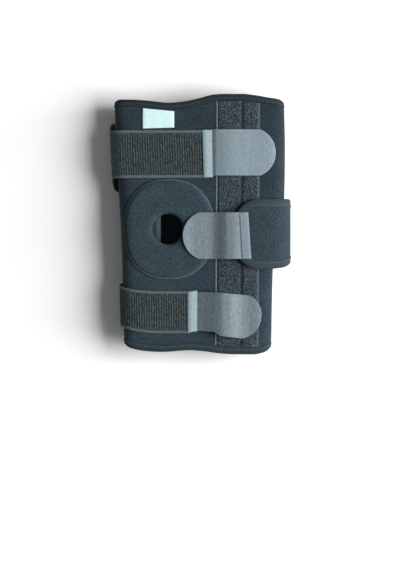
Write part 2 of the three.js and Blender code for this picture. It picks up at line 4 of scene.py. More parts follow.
import bpy
import numpy as np
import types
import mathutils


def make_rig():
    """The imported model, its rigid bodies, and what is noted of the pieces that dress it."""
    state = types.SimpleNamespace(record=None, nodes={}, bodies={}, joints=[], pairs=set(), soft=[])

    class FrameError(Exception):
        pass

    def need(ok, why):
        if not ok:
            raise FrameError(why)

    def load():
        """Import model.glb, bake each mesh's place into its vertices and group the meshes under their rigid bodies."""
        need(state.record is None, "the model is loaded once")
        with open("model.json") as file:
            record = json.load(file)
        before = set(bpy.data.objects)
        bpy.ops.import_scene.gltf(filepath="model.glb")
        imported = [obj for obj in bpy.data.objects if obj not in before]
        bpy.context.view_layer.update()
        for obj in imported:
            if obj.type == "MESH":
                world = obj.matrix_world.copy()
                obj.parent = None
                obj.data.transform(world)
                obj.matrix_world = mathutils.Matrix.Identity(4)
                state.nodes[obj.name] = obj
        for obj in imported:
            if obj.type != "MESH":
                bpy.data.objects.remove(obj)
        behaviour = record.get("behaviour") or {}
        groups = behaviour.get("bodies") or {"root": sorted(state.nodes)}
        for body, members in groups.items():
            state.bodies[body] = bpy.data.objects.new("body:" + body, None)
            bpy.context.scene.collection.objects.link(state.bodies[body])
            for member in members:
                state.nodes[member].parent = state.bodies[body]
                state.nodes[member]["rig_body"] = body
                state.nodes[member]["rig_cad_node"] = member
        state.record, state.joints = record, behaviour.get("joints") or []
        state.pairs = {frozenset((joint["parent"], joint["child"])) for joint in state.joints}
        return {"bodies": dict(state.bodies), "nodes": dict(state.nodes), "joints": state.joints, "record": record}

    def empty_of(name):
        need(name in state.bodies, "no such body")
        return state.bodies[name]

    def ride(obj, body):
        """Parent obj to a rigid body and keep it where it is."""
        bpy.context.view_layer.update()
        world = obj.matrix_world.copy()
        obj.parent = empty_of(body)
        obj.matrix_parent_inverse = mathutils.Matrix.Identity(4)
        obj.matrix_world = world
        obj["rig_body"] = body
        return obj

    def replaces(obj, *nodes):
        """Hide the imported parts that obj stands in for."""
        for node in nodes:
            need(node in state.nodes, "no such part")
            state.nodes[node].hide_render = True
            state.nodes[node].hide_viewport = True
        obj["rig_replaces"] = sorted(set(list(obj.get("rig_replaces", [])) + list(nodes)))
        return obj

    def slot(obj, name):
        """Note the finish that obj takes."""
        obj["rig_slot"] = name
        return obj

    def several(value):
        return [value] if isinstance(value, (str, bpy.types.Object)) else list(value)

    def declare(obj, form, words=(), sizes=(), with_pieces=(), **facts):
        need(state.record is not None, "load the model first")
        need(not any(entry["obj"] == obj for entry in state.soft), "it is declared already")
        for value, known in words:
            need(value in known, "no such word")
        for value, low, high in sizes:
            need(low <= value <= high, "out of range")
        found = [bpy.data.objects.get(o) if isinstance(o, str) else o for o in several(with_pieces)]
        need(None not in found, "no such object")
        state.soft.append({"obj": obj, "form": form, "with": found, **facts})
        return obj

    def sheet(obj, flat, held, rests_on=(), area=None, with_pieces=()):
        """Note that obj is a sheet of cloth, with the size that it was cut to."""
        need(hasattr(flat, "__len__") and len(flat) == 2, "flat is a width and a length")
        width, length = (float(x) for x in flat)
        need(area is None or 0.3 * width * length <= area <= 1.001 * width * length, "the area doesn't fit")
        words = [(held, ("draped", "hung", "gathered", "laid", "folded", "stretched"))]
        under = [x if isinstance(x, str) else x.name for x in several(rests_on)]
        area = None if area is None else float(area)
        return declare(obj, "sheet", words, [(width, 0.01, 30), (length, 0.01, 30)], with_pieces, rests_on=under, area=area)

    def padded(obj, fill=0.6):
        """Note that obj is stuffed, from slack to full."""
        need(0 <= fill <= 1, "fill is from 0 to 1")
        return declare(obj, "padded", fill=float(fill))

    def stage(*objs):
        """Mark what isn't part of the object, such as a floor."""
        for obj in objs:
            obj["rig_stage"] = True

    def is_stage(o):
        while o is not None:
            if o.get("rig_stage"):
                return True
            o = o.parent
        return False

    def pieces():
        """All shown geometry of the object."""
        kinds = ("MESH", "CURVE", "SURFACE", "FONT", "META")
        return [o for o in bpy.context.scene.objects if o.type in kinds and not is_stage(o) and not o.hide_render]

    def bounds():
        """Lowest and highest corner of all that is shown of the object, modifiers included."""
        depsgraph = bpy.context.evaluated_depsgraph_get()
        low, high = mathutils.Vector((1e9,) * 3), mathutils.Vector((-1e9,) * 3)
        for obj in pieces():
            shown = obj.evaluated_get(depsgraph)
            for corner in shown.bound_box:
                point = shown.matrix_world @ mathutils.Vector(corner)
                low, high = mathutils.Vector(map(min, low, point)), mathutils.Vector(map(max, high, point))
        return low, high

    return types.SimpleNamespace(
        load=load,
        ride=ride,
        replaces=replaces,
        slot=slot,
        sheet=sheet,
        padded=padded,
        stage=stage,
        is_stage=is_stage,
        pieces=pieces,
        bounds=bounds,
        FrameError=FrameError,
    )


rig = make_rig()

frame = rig.load()
CAD_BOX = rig.bounds()
RANDOM = np.random.default_rng(11)

MM = 0.001
QUARTER = math.pi / 2
UV_MM = 10


def table(names, *rows):
    """A short table's columns by name."""
    return {name: np.array(column, float) for name, column in zip(names.split(), zip(*rows))}


# Thicknesses of the cloths and the clearance between layers
GAP = 0.3
NEOPRENE = 4
ELASTIC = 2
HOOK_TAPE = 1.0
SEAM_FOLD = 0.35
BINDING_TAPE = 0.9
LABEL_CLOTH = 0.7

# Sleeve: the folds, the front's crown and the two back flaps, as in the CAD model
FOLD_HEIGHT = 27
OUTER_FLAP_HEIGHT = 1.5 * NEOPRENE + GAP
FLAP_SPACING = 14
INNER_FLAP_HEIGHT = OUTER_FLAP_HEIGHT + FLAP_SPACING
INNER_FLAP_ARCH = 2.5
INNER_FLAP_DROOP = 4.4
DROOP_FROM = 0.6
OUTER_FLAP_END = -62
INNER_FLAP_END = -46
RIGHT_CORNER = 30
LEFT_CORNER = 10
FRONT_ROUNDNESS = 16
SLEEVE = table(
    "along left right crown",
    (0.00, -83.3, 76.2, 38.5),
    (0.30, -85.3, 77.8, 40.5),
    (0.47, -86.9, 84.3, 41.0),
    (0.62, -89.2, 90.5, 41.0),
    (0.80, -91.9, 91.2, 40.5),
    (1.00, -94.0, 90.2, 39.0),
)
TOP_EDGE = table(
    "across y",
    (-1.00, 133.6), (-0.95, 135.0), (-0.80, 134.8), (-0.65, 133.9), (-0.36, 131.4),
    (-0.20, 132.7), (0.00, 136.3), (0.09, 138.6), (0.17, 140.3), (0.30, 140.9),
    (0.52, 140.9), (0.67, 139.5), (0.81, 137.4), (0.96, 135.3), (1.00, 133.2),
)
BOTTOM_EDGE = table(
    "across y",
    (-1.00, -130.4), (-0.97, -132.6), (-0.89, -135.0), (-0.72, -137.3), (-0.50, -138.2),
    (-0.10, -136.4), (0.12, -137.8), (0.29, -139.7), (0.50, -140.7), (0.78, -140.9),
    (0.88, -139.6), (0.96, -137.2), (1.00, -134.0),
)

# Binding tapes: how deep they reach from an edge, and how far their sewing presses the neoprene in
BINDING_DEPTH = 7.6
WING_BINDING_DEPTH = 8.8
TAPE_GAP = 0.1
SQUEEZE = 1.1
SQUEEZE_EASE = 0.6

# Patella opening and the padded oval sewn round it
PATELLA = (-36.3, -5.4)
OPENING_RADIUS = 18
PAD_CENTRE = (-35, -5.6)
PAD_HALF_WIDTH = 48.9
PAD_HALF_LENGTH = 53.6
PAD_FULLNESS = 2.25
PAD_HEIGHT = 2.7
PAD = table(
    "out height",
    (0.00, 0.52), (0.03, 0.74), (0.09, 0.90), (0.20, 0.98), (0.40, 1.00), (0.70, 0.98),
    (0.86, 0.94), (0.915, 0.82), (0.975, 0.24), (0.985, 0.18), (1.00, 0.16),
)

# Loop strip over the side stays: height of its cloth across it
STRIP_LEFT = 16.7
STRIP_SLANT = 1.6
STRIP = table(
    "x height",
    (0.0, 0.4), (1.1, 0.45), (1.9, 0.2), (4.0, 1.3), (15.0, 1.5), (25.2, 1.3), (27.6, 0.4),
    (29.0, 0.4), (31.0, 1.3), (37.0, 1.4), (44.0, 1.1), (47.0, 0.4),
)
STRIP_SELVEDGE = 1.3
STRIP_SEAT = 0.08
STRIP_GROOVE = 28.3
GROOVE_WIDTH = 1.5

# Label sewn under the top edge
LABEL = table(
    "x top bottom",
    (-63, 125.2, 103.2),
    (-29, 122.0, 104.2),
)

# Elastic straps from the front round the left fold to the back
UPPER_STRAP = {
    "base_end": 56,
    # stretch: how much painted light the strap takes round the left fold
    "stretch": 0.4,
    "rows": table(
        "turn top bottom lift",
        (2.945, 101.6, 49.8, 0.3),
        (3.62, 101.4, 49.6, 0.5),
        (3.86, 101.4, 49.4, 3.4),
        (3.97, 101.6, 49.2, 4.6),
        (4.06, 105.0, 44.0, 4.6),
        (4.16, 109.4, 37.0, 3.8),
        (4.40, 110.4, 34.0, 2.0),
        (4.80, 105.0, 44.0, 0.0),
        (5.20, 102.0, 50.0, 0.0),
        (7.00, 102.0, 50.0, 0.0),
    ),
}
LOWER_STRAP = {
    "base_end": 42,
    # stretch: how much painted light the strap takes round the left fold
    "stretch": 0.05,
    "rows": table(
        "turn top bottom lift",
        (3.07, -72.3, -117.9, 0.3),
        (3.36, -72.3, -118.1, 0.3),
        (3.62, -71.0, -116.1, 0.5),
        (3.76, -69.4, -113.9, 1.0),
        (3.89, -67.2, -111.2, 1.8),
        (4.00, -64.8, -110.0, 1.9),
        (4.60, -63.0, -109.0, 0.0),
        (7.00, -63.0, -109.0, 0.0),
    ),
}
STRAP_CORNER = 30
STRAP_BASE_LENGTH = 32
STRAP_SEAT_RAMP = 10
SELVEDGE = 2.6

# Ribs knitted into the elastic, each a row of beads
RIB_PITCH = 2.66
RIB_STEPS = 5
RIB_DEPTH = 0.5
RIB_BEAD = 1.5
RIB_LOW = 0.3
SPARE_BEADS = 3

# Painted light: a paler tone where a strap turns round the left fold
FOLD_PAINTED_LIGHT = table(
    "turn share",
    (3.68, 0.0), (3.80, 0.5), (3.88, 1.0), (4.50, 1.0), (5.00, 0.0),
)

# Hook tabs: the sewn end, the round tip, the middle line and the height of the underside, one column
# for each tab
TAB_ROUND = 17
SEAM_EASE = 40
SEAM_WIDTH = 9.6
SEAM_ROUND = 1.1
SEAM_TAPER = 5
SEAM_STEP = 0.35
SEAM_MARGIN = 1
GROOVE_RUN = 1.6
NIP = table(
    "run share",
    (9.6, 0.45), (20.0, 0.77), (29.0, 1.00), (33.0, 0.50), (37.0, 0.06), (45.0, 0.00),
)
ON_ELASTIC = GAP + ELASTIC + GAP
TAB_SIZES = {
    "name": ("upper", "lower", "middle"),
    "on_sleeve": (True, True, False),
    "seam": (2.4, -14.2, 52.6),
    "tip": (80.8, 65.2, -19.8),
    "middle": (77.2, -93.9, -12.6),
    "slope": (0, -0.1, 0),
    "slant": (0.03, 0, 0.069),
    "lean": (0, 0.15, 0),
    "half": (25, 23.3, 25.1),
    "flare": (0, 0.08, 0),
    "band_half": (25.6, 22, 25.1),
    "band_hang": (1.2, 0, 0),
    "band_tilt": (0, 0.26, 0),
    "nip": (0, 3.3, 0),
    "groove": (0.45, 0.4, 0.15),
    "underside": (
        table(
            "x height",
            (2.4, ON_ELASTIC), (11, ON_ELASTIC), (17, 4.2), (28, 5.1), (56, 3), (72, 2.2),
            (80.8, 1.8),
        ),
        table(
            "x height",
            (-14.2, ON_ELASTIC), (-3, ON_ELASTIC + 0.3), (0, 3.6), (20, 9.6), (23, 10.1),
            (30, 9.4), (45, 4.7), (53, 3.8), (68, 3.8),
        ),
        table(
            "x height",
            (-19.8, 46.8), (-6, 45), (11, 44.9), (29, 51.2), (35, 51.6), (45, 50.6),
            (54.6, 49.8),
        ),
    ),
}
TABS = [dict(zip(TAB_SIZES, sizes)) for sizes in zip(*TAB_SIZES.values())]

# Middle wing: a neoprene tongue that comes from under the back round the right fold
WING_BASE = 14
WING_REACH = 97.2
WING_TIP = 33.9
WING_ROUND = 31.5
WING_ROUND_FROM = WING_TIP + WING_ROUND
WING_FULLNESS = 2.4
WING_CROWN = 46.8
WING_CROWN_X = 20
WING_CORNER = 30
WING_BINDING_START = 1.3
WING_ROUNDNESS = 5
WING = table(
    "turn top bottom",
    (0.0, 24.4, -42.0),
    (1.6, 26.0, -42.4),
    (2.0, 27.4, -43.2),
    (2.3, 27.3, -47.2),
    (2.5, 27.0, -48.6),
)

# Sewing thread, and the rows of stitches that have their own sizes
THREAD_RADIUS = 0.3
THREAD_SIDES = 6
STITCH_PITCH = 2.9
STITCH_FILL = 0.72
TICK_SEWING = {"pitch": 2.1, "radius": 0.34, "fill": 0.25, "zigzag": 1.7}
RING_SEWING = {"pitch": 1.2, "radius": 0.5, "fill": 1, "zigzag": 1.2}
STRIP_SEWING = {"radius": 0.22}
LABEL_SEWING = {"pitch": 2.2, "radius": 0.2}
TAB_SEWING = {"pitch": 2.6, "radius": 0.4, "fill": 0.45}
PATH_POINTS = 60

# Camera over the photograph's middle, and its scale
PHOTO_WIDTH = 400
PHOTO_HEIGHT = 570
PHOTO_MM = 1.08
PHOTO_ORIGIN = (201, 224.1)
CAMERA_HEIGHT = 2500
SHARP_PLANE = 40
SENSOR = 36


# Numbers and points

def lerp(a, b, share):
    return a + (b - a) * share


def smoothstep(share):
    t = np.clip(share, 0, 1)
    return t * t * (3 - 2 * t)


def fuller(part, fullness):
    """A sine or cosine that draws a fuller oval than an ellipse, which has a fullness of 2."""
    return np.sign(part) * np.abs(part) ** (2 / fullness)


def stacked(x, y, z):
    return np.stack(np.broadcast_arrays(x, y, z), axis=-1).astype(float)


def unit(vectors):
    return vectors / np.linalg.norm(vectors, axis=-1, keepdims=True)


def travelled(points):
    """Distance along a line of points, from its first."""
    steps = np.linalg.norm(np.diff(points, axis=0), axis=-1)
    return np.concatenate([[0], np.cumsum(steps)])


def spaced(places, counts):
    """Numbers from the first place to the last, evenly spaced between each two, ends counted."""
    runs = [np.linspace(*ends, count) for *ends, count in zip(places, places[1:], counts)]
    return np.concatenate([runs[0], *[run[1:] for run in runs[1:]]])


def between(values):
    """The middles of the steps from value to value."""
    return (values[1:] + values[:-1]) / 2


EDGE_SHARES = np.array([0, 0.08, 0.3, 0.6])
THIN_EDGE = 0.25


def edged(width, radius, steps):
    """Places across a cloth, closer together in the rounding at its two edges."""
    near = radius * EDGE_SHARES
    return np.concatenate([near, np.linspace(radius, width - radius, steps), width - near[::-1]])


def edge_round(distance, radius):
    """Share of its thickness that a cloth has at a distance from its edge."""
    short = np.clip(1 - distance / radius, 0, 1)
    return np.maximum(THIN_EDGE, np.sqrt(1 - short**2))


def curve(columns, given, wanted):
    """A smooth function through a table's rows that never swings past them."""
    x, y = columns[given], columns[wanted]
    rise = np.diff(y) / np.diff(x)
    slope = np.concatenate([rise[:1], np.zeros(len(x) - 2), rise[-1:]])
    for i in range(1, len(x) - 1):
        if rise[i - 1] * rise[i] > 0:
            slope[i] = 2 / (1 / rise[i - 1] + 1 / rise[i])

    def at(place):
        here = np.clip(place, x[0], x[-1])
        i = np.clip(np.searchsorted(x, here, side="right") - 1, 0, len(x) - 2)
        width = x[i + 1] - x[i]
        t = (here - x[i]) / width
        lean = t * (1 - t) * width * ((1 - t) * slope[i] - t * slope[i + 1])
        return lerp(y[i], y[i + 1], smoothstep(t)) + lean

    return at


# The wrap's wall, the straps' routes and the wing, as in the CAD model

left_fold = curve(SLEEVE, "along", "left")
right_fold = curve(SLEEVE, "along", "right")
crown_height = curve(SLEEVE, "along", "crown")
top_edge = curve(TOP_EDGE, "across", "y")
bottom_edge = curve(BOTTOM_EDGE, "across", "y")
wing_top = curve(WING, "turn", "top")
wing_bottom = curve(WING, "turn", "bottom")
strip_height = curve(STRIP, "x", "height")


def section(along):
    """The wall's middle line at a share of the sleeve's length: folds, centre, half width, crown."""
    left = left_fold(along) + NEOPRENE / 2
    right = right_fold(along) - NEOPRENE / 2
    return left, right, (left + right) / 2, (right - left) / 2, crown_height(along) - NEOPRENE / 2


def arch(across, roundness):
    return np.sqrt(np.maximum(0, 1 - np.abs(across) ** roundness))


def stretch_of(turn, first, last):
    """The stretch of a line that a turn lies in, the share of it that is past, and that share's arc."""
    leg = np.clip(np.floor(turn), first, last).astype(int)
    share = turn - leg
    return leg - first, share, np.cos(share * QUARTER), np.sin(share * QUARTER)


def wall_line(turn, along):
    """A point on the middle of the wall, as x and z. turn goes once round the wrap: 0 is the outer
    flap's free end, 2 the right fold, 3 the crown, 4 the left fold, 6 the inner flap's free end."""
    left, right, centre, half, crown = section(along)
    leg, share, cos, sin = stretch_of(turn, 0, 5)
    rise = crown - FOLD_HEIGHT
    droop = 1 - arch(np.maximum(0, (share - DROOP_FROM) / (1 - DROOP_FROM)), 2)
    inner = INNER_FLAP_HEIGHT + INNER_FLAP_ARCH * (1 - (2 * share - 1) ** 2) - INNER_FLAP_DROOP * droop
    x = np.choose(leg, [
        lerp(OUTER_FLAP_END, right - RIGHT_CORNER, share),
        right - RIGHT_CORNER * (1 - sin),
        centre + half * cos,
        centre - half * sin,
        left + LEFT_CORNER * (1 - cos),
        lerp(left + LEFT_CORNER, INNER_FLAP_END, share),
    ])
    z = np.choose(leg, [
        OUTER_FLAP_HEIGHT + 0 * share,
        lerp(FOLD_HEIGHT, OUTER_FLAP_HEIGHT, cos),
        FOLD_HEIGHT + rise * arch(cos, FRONT_ROUNDNESS),
        FOLD_HEIGHT + rise * arch(sin, FRONT_ROUNDNESS),
        lerp(FOLD_HEIGHT, INNER_FLAP_HEIGHT, sin),
        inner,
    ])
    return x, z


def edges(turn):
    """The finished top and bottom edges at a place round the wrap."""
    across = np.sin((3 - np.clip(turn, 2, 4)) * QUARTER)
    return top_edge(across), bottom_edge(across)


def off_line(line, turn, y, off):
    """A point at a height y, off a line in the XZ plane that runs anticlockwise."""
    step = 1e-3
    x, z = line(turn)
    x0, z0 = line(turn - step)
    x1, z1 = line(turn + step)
    length = np.hypot(x1 - x0, z1 - z0)
    return stacked(x + off * (z1 - z0) / length, y, z + off * (x0 - x1) / length)


def along_wrap(turn, y):
    top, bottom = edges(turn)
    return np.clip((y - bottom) / (top - bottom), 0, 1)


def off_middle(rise, depth):
    """Distance from the neoprene's middle of a rise off its outer face. A binding presses both faces
    in, at a depth from the bound edge that it covers."""
    off = NEOPRENE / 2 + rise
    pressed = SQUEEZE * (1 - smoothstep((depth - BINDING_DEPTH) / SQUEEZE_EASE))
    return off - pressed * np.clip(off / (NEOPRENE / 2), -1, 1)


def wrap(turn, y, rise):
    """A point at a place round the wrap, a height y, and a rise off the wall's outer face."""
    along = along_wrap(turn, y)
    top, bottom = edges(turn)
    off = off_middle(rise, np.minimum(top - y, y - bottom))
    return off_line(lambda place: wall_line(place, along), turn, y, off)


PLAN_PASSES = 8


def front_turn(x, y):
    """The place round the wrap of a plan point on the front."""
    turn = 3 + 0 * (x + y)
    for _ in range(PLAN_PASSES):
        _, _, centre, half, _ = section(along_wrap(turn, y))
        turn = 3 - np.arcsin(np.clip((x - centre) / half, -1, 1)) / QUARTER
    return turn


def on_front(x, y, rise):
    """A point over the front at a plan position and a rise off the wall."""
    first = wrap(front_turn(x, y), y, rise)
    return wrap(front_turn(2 * x - first[..., 0], y), y, rise)


def strap_route(turn, y, rise, base_end):
    """A point on a strap's route: over the front to the left fold (turn 4), down round the corner
    (5), flat along the surface, and from turn 6 up to its seat under the outer flap (7)."""
    left = left_fold(along_wrap(4, y))
    base_start = base_end - STRAP_BASE_LENGTH
    seat = OUTER_FLAP_HEIGHT - NEOPRENE / 2 - GAP

    def line(place):
        leg, share, cos, sin = stretch_of(place, 4, 6)
        base_x = lerp(base_start, base_end, share)
        x = np.choose(leg, [
            left + STRAP_CORNER * (1 - cos),
            lerp(left + STRAP_CORNER, base_start, share),
            base_x,
        ])
        z = np.choose(leg, [
            lerp(FOLD_HEIGHT, ELASTIC, sin),
            ELASTIC + 0 * share,
            lerp(ELASTIC, seat, smoothstep((base_x - base_start) / STRAP_SEAT_RAMP)),
        ])
        return x, z

    behind = off_line(line, turn, y, rise)
    behind[..., 2] = np.maximum(0, behind[..., 2])
    return np.where(turn[..., None] <= 4, wrap(np.minimum(turn, 4), y, rise), behind)


def wing_line(turn):
    """The wing's middle line, as x and z: 0 to 1 flat on the surface, 1 to 2 the lower corner, 2 the
    right fold, 2 to 3 over the front."""
    leg, share, cos, sin = stretch_of(turn, 0, 2)
    fold = WING_REACH - NEOPRENE / 2
    x = np.choose(leg, [
        lerp(WING_BASE, fold - WING_CORNER, share),
        fold - WING_CORNER * (1 - sin),
        lerp(WING_CROWN_X, fold, cos),
    ])
    z = np.choose(leg, [
        NEOPRENE / 2 + 0 * share,
        lerp(FOLD_HEIGHT, NEOPRENE / 2, cos),
        lerp(FOLD_HEIGHT, WING_CROWN, arch(cos, WING_ROUNDNESS)),
    ])
    return x, z


def wing_turn(x):
    """The place on the wing's line of a plan position over the front."""
    return 2 + np.arccos((x - WING_CROWN_X) / (WING_REACH - NEOPRENE / 2 - WING_CROWN_X)) / QUARTER


def wing_middle(turn):
    return (wing_top(turn) + wing_bottom(turn)) / 2


def wing_half(turn):
    return (wing_top(turn) - wing_bottom(turn)) / 2


def wing_share(x, y, turn):
    """How far out a place on the wing lies: 0 on its middle line, 1 at its edge or round end."""
    into_end = np.maximum(0, WING_ROUND_FROM - x) / WING_ROUND
    beside = np.abs(y - wing_middle(turn)) / wing_half(turn)
    return (into_end**WING_FULLNESS + beside**WING_FULLNESS) ** (1 / WING_FULLNESS)


def wing_end(angle, depth):
    """A place on the wing's round end, as its turn and y, at a depth from the edge. The angle is a
    quarter turn at the upper edge and minus a quarter turn at the lower one."""
    cos = fuller(np.cos(angle), WING_FULLNESS)
    sin = fuller(np.sin(angle), WING_FULLNESS)
    turn = wing_turn(WING_ROUND_FROM - (WING_ROUND - depth) * cos)
    return turn, wing_middle(3) + (wing_half(3) - depth) * sin


def on_wing(turn, y, rise):
    """A point at a place on the wing's line, a height y, and a rise off its outer face."""
    over = np.where(turn > 2, wing_line(turn)[0], WING_REACH)
    off = off_middle(rise, (1 - wing_share(over, y, turn)) * wing_half(turn))
    return off_line(wing_line, turn, y, off)


# Meshes

SHARP_ANGLE = math.radians(60)


def added(name, data):
    """A new object in the scene."""
    made = bpy.data.objects.new(name, data)
    bpy.context.scene.collection.objects.link(made)
    return made


def build(name, points, faces, materials, paint=None, uv=None, tone=None):
    """An object from points in millimetres and four-cornered faces, with one material for each face."""
    used, faces = np.unique(faces, return_inverse=True)
    faces = faces.reshape(-1, 4)
    points = points[used]
    corners = points[faces]
    spans = np.cross(corners[:, 2] - corners[:, 0], corners[:, 3] - corners[:, 1])
    if np.sum(corners.mean(axis=1) * spans) < 0:
        faces = faces[:, ::-1]
    mesh = bpy.data.meshes.new(name)
    mesh.from_pydata((points * MM).tolist(), [], faces.tolist())
    for material in materials:
        mesh.materials.append(material)
    if paint is not None:
        mesh.polygons.foreach_set("material_index", paint.astype(np.int32))
    if uv is not None:
        layer = mesh.uv_layers.new(name="cloth")
        layer.uv.foreach_set("vector", (uv[used][faces.ravel()] / UV_MM).astype(np.float32).ravel())
    if tone is not None:
        values = mesh.attributes.new("tone", "FLOAT", "POINT")
        values.data.foreach_set("value", tone[used].astype(np.float32))
    mesh.polygons.foreach_set("use_smooth", np.ones(len(faces), bool))
    mesh.set_sharp_from_angle(angle=SHARP_ANGLE)
    return added(name, mesh)


def shell(name, outer, inner, materials, uv, ring=False, keep=None, paint=0, tone=None):
    """A closed cloth between two grids of points. uv gives the distances along the flat cloth and
    across it, and paint the material of each cell of the outer side; the inner side and the rims take
    the last two materials."""
    columns, rows = outer.shape[:2]
    count = columns * rows
    grid = np.arange(count).reshape(columns, rows)
    if ring:
        grid = np.vstack([grid, grid[:1]])
    cells = np.stack([grid[:-1, :-1], grid[1:, :-1], grid[1:, 1:], grid[:-1, 1:]], axis=-1).reshape(-1, 4)
    colours = np.broadcast_to(paint, (len(grid) - 1, rows - 1)).ravel()
    if keep is not None:
        cells = cells[keep.ravel()]
        colours = colours[keep.ravel()]
    starts = cells.ravel()
    ends = np.roll(cells, -1, axis=1).ravel()
    lone = ~np.isin(starts * count + ends, ends * count + starts)
    a, b = starts[lone], ends[lone]
    rim = np.stack([b, a, a + count, b + count], axis=-1)
    last = len(materials) - 1
    painted = np.concatenate([colours, np.full(len(cells), max(0, last - 1)), np.full(len(rim), last)])
    points = np.concatenate([outer.reshape(-1, 3), inner.reshape(-1, 3)])
    flat = np.stack(np.broadcast_arrays(*uv), axis=-1).reshape(count, 2)
    return build(
        name,
        points,
        np.concatenate([cells, cells[:, ::-1] + count, rim]),
        materials,
        paint=painted,
        uv=np.tile(flat, (2, 1)),
        tone=None if tone is None else np.tile(tone.ravel(), 2),
    )


def tubes(name, centres, ups, radii, sides, material, tone=None):
    """Many short threads in one mesh: centres and ups are (threads, points, 3)."""
    threads, steps = centres.shape[:2]
    along = unit(np.gradient(centres, axis=1))
    side = unit(np.cross(ups, along))
    over = np.cross(along, side)
    angle = np.arange(sides) / sides * 2 * math.pi
    ring = over[:, :, None] * np.cos(angle)[:, None] + side[:, :, None] * np.sin(angle)[:, None]
    points = centres[:, :, None] + ring * np.reshape(radii, (1, steps, 1, 1))
    index = np.arange(threads * steps * sides).reshape(threads, steps, sides)
    turned = np.roll(index, -1, axis=2)
    wall = np.stack([index[:, :-1], turned[:, :-1], turned[:, 1:], index[:, 1:]], axis=-1).reshape(-1, 4)
    caps = [wall]
    for corner in range(1, sides - 2, 2):
        fan = [0, corner, corner + 1, corner + 2]
        caps.append(index[:, 0][:, fan[::-1]])
        caps.append(index[:, -1][:, fan])
    tones = None if tone is None else np.repeat(tone, steps * sides)
    return build(name, points.reshape(-1, 3), np.concatenate(caps), [material], tone=tones)


STITCH_SHARES = np.array([0, 0.16, 0.5, 0.84, 1])
STITCH_HEIGHTS = np.array([-1.2, 0.3, 0.6, 0.3, -1.2])
STITCH_RADII = np.array([0.45, 0.95, 1, 0.95, 0.45])


def stitches(name, lines, material, pitch=STITCH_PITCH, radius=THREAD_RADIUS, fill=STITCH_FILL, zigzag=0):
    """Rows of stitches. Each line is a function that gives its points at a rise off the cloth."""
    centres, ups = [], []
    for line in lines:
        points = line(0)
        up = unit(line(1) - points)
        run = travelled(points)
        starts = np.arange(0, run[-1] - pitch, pitch)
        at = starts[:, None] + pitch * fill * STITCH_SHARES
        pick = lambda values: np.stack([np.interp(at, run, values[:, k]) for k in range(3)], axis=-1)
        here, high = pick(points), unit(pick(up))
        side = unit(np.cross(high, np.gradient(here, axis=1)))
        swing = zigzag * np.where(np.arange(len(starts)) % 2, 1, -1)[:, None] * (1 - 2 * STITCH_SHARES)
        centres.append(here + high * (radius * STITCH_HEIGHTS)[:, None] + side * swing[..., None])
        ups.append(high)
    centres, ups = np.concatenate(centres), np.concatenate(ups)
    return tubes(name, centres, ups, radius * STITCH_RADII, THREAD_SIDES, material)


# Materials

def srgb(red, green, blue):
    """An 8-bit screen colour as the light that a surface sends back."""
    share = np.array([red, green, blue]) / 255
    linear = np.where(share <= 0.04045, share / 12.92, ((share + 0.055) / 1.055) ** 2.4)
    return (*linear, 1)


def fill_in(tree, made, inputs):
    """Sets a node's inputs, each to a value or to another node's output."""
    for key, value in inputs.items():
        if isinstance(value, bpy.types.NodeSocket):
            tree.links.new(value, made.inputs[key])
        else:
            made.inputs[key].default_value = value


def node(tree, kind, inputs=None, **settings):
    """A new node with its settings and its inputs."""
    made = tree.nodes.new(kind)
    for key, value in settings.items():
        setattr(made, key, value)
    fill_in(tree, made, inputs or {})
    return made


def cloth_place(tree, along=1, across=1):
    """A point's place on the flat cloth in centimetres, stretched by two factors."""
    flat = node(tree, "ShaderNodeUVMap", uv_map="cloth")
    scale = (along, across, 1)
    return node(tree, "ShaderNodeMapping", {"Vector": flat.outputs[0], "Scale": scale}).outputs[0]


def body_place(tree):
    """A point's place on the object, in metres."""
    return node(tree, "ShaderNodeTexCoord").outputs["Object"]


def noise(tree, place, scale, detail=2, roughness=0.55):
    values = {"Vector": place, "Scale": scale, "Detail": detail, "Roughness": roughness}
    return node(tree, "ShaderNodeTexNoise", values).outputs["Fac"]


def waves(tree, scale, direction, distortion):
    values = {"Vector": cloth_place(tree), "Scale": scale, "Distortion": distortion, "Detail": 1}
    return node(tree, "ShaderNodeTexWave", values, bands_direction=direction).outputs["Fac"]


def math_node(tree, operation, first, second):
    return node(tree, "ShaderNodeMath", {0: first, 1: second}, operation=operation).outputs[0]


def blended(tree, parts):
    """A weighted sum of several textures, given as (texture, weight)."""
    total = 0.0
    for texture, weight in parts:
        if weight:
            total = math_node(tree, "ADD", math_node(tree, "MULTIPLY", texture, weight), total)
    return total


def ramp(tree, factor, low, dark, high, light):
    """A colour for each value of a texture, from dark at a low value to light at a high one."""
    made = node(tree, "ShaderNodeValToRGB", {"Fac": factor})
    for element, place, colour in zip(made.color_ramp.elements, (low, high), (dark, light)):
        element.position = place
        element.color = colour
    return made.outputs["Color"]


# No painted light or shade: the colour stays even over the part
NO_PAINTED_LIGHT = (0, 0)


def painted_light_gradient(tree, colour, fade):
    """Painted light and shade: cloth that gets paler or darker over the part, by a share for each metre along X and Y.
    """
    place = node(tree, "ShaderNodeSeparateXYZ", {"Vector": body_place(tree)}).outputs
    share = math_node(tree, "ADD", blended(tree, [(place["X"], fade[0]), (place["Y"], fade[1])]), 1.0)
    return node(tree, "ShaderNodeVectorMath", {0: colour, "Scale": share}, operation="SCALE").outputs[0]


def shades(colour, dark, light):
    """A darker and a lighter shade of a colour."""
    return [(*[part * factor for part in colour[:3]], 1) for factor in (dark, light)]


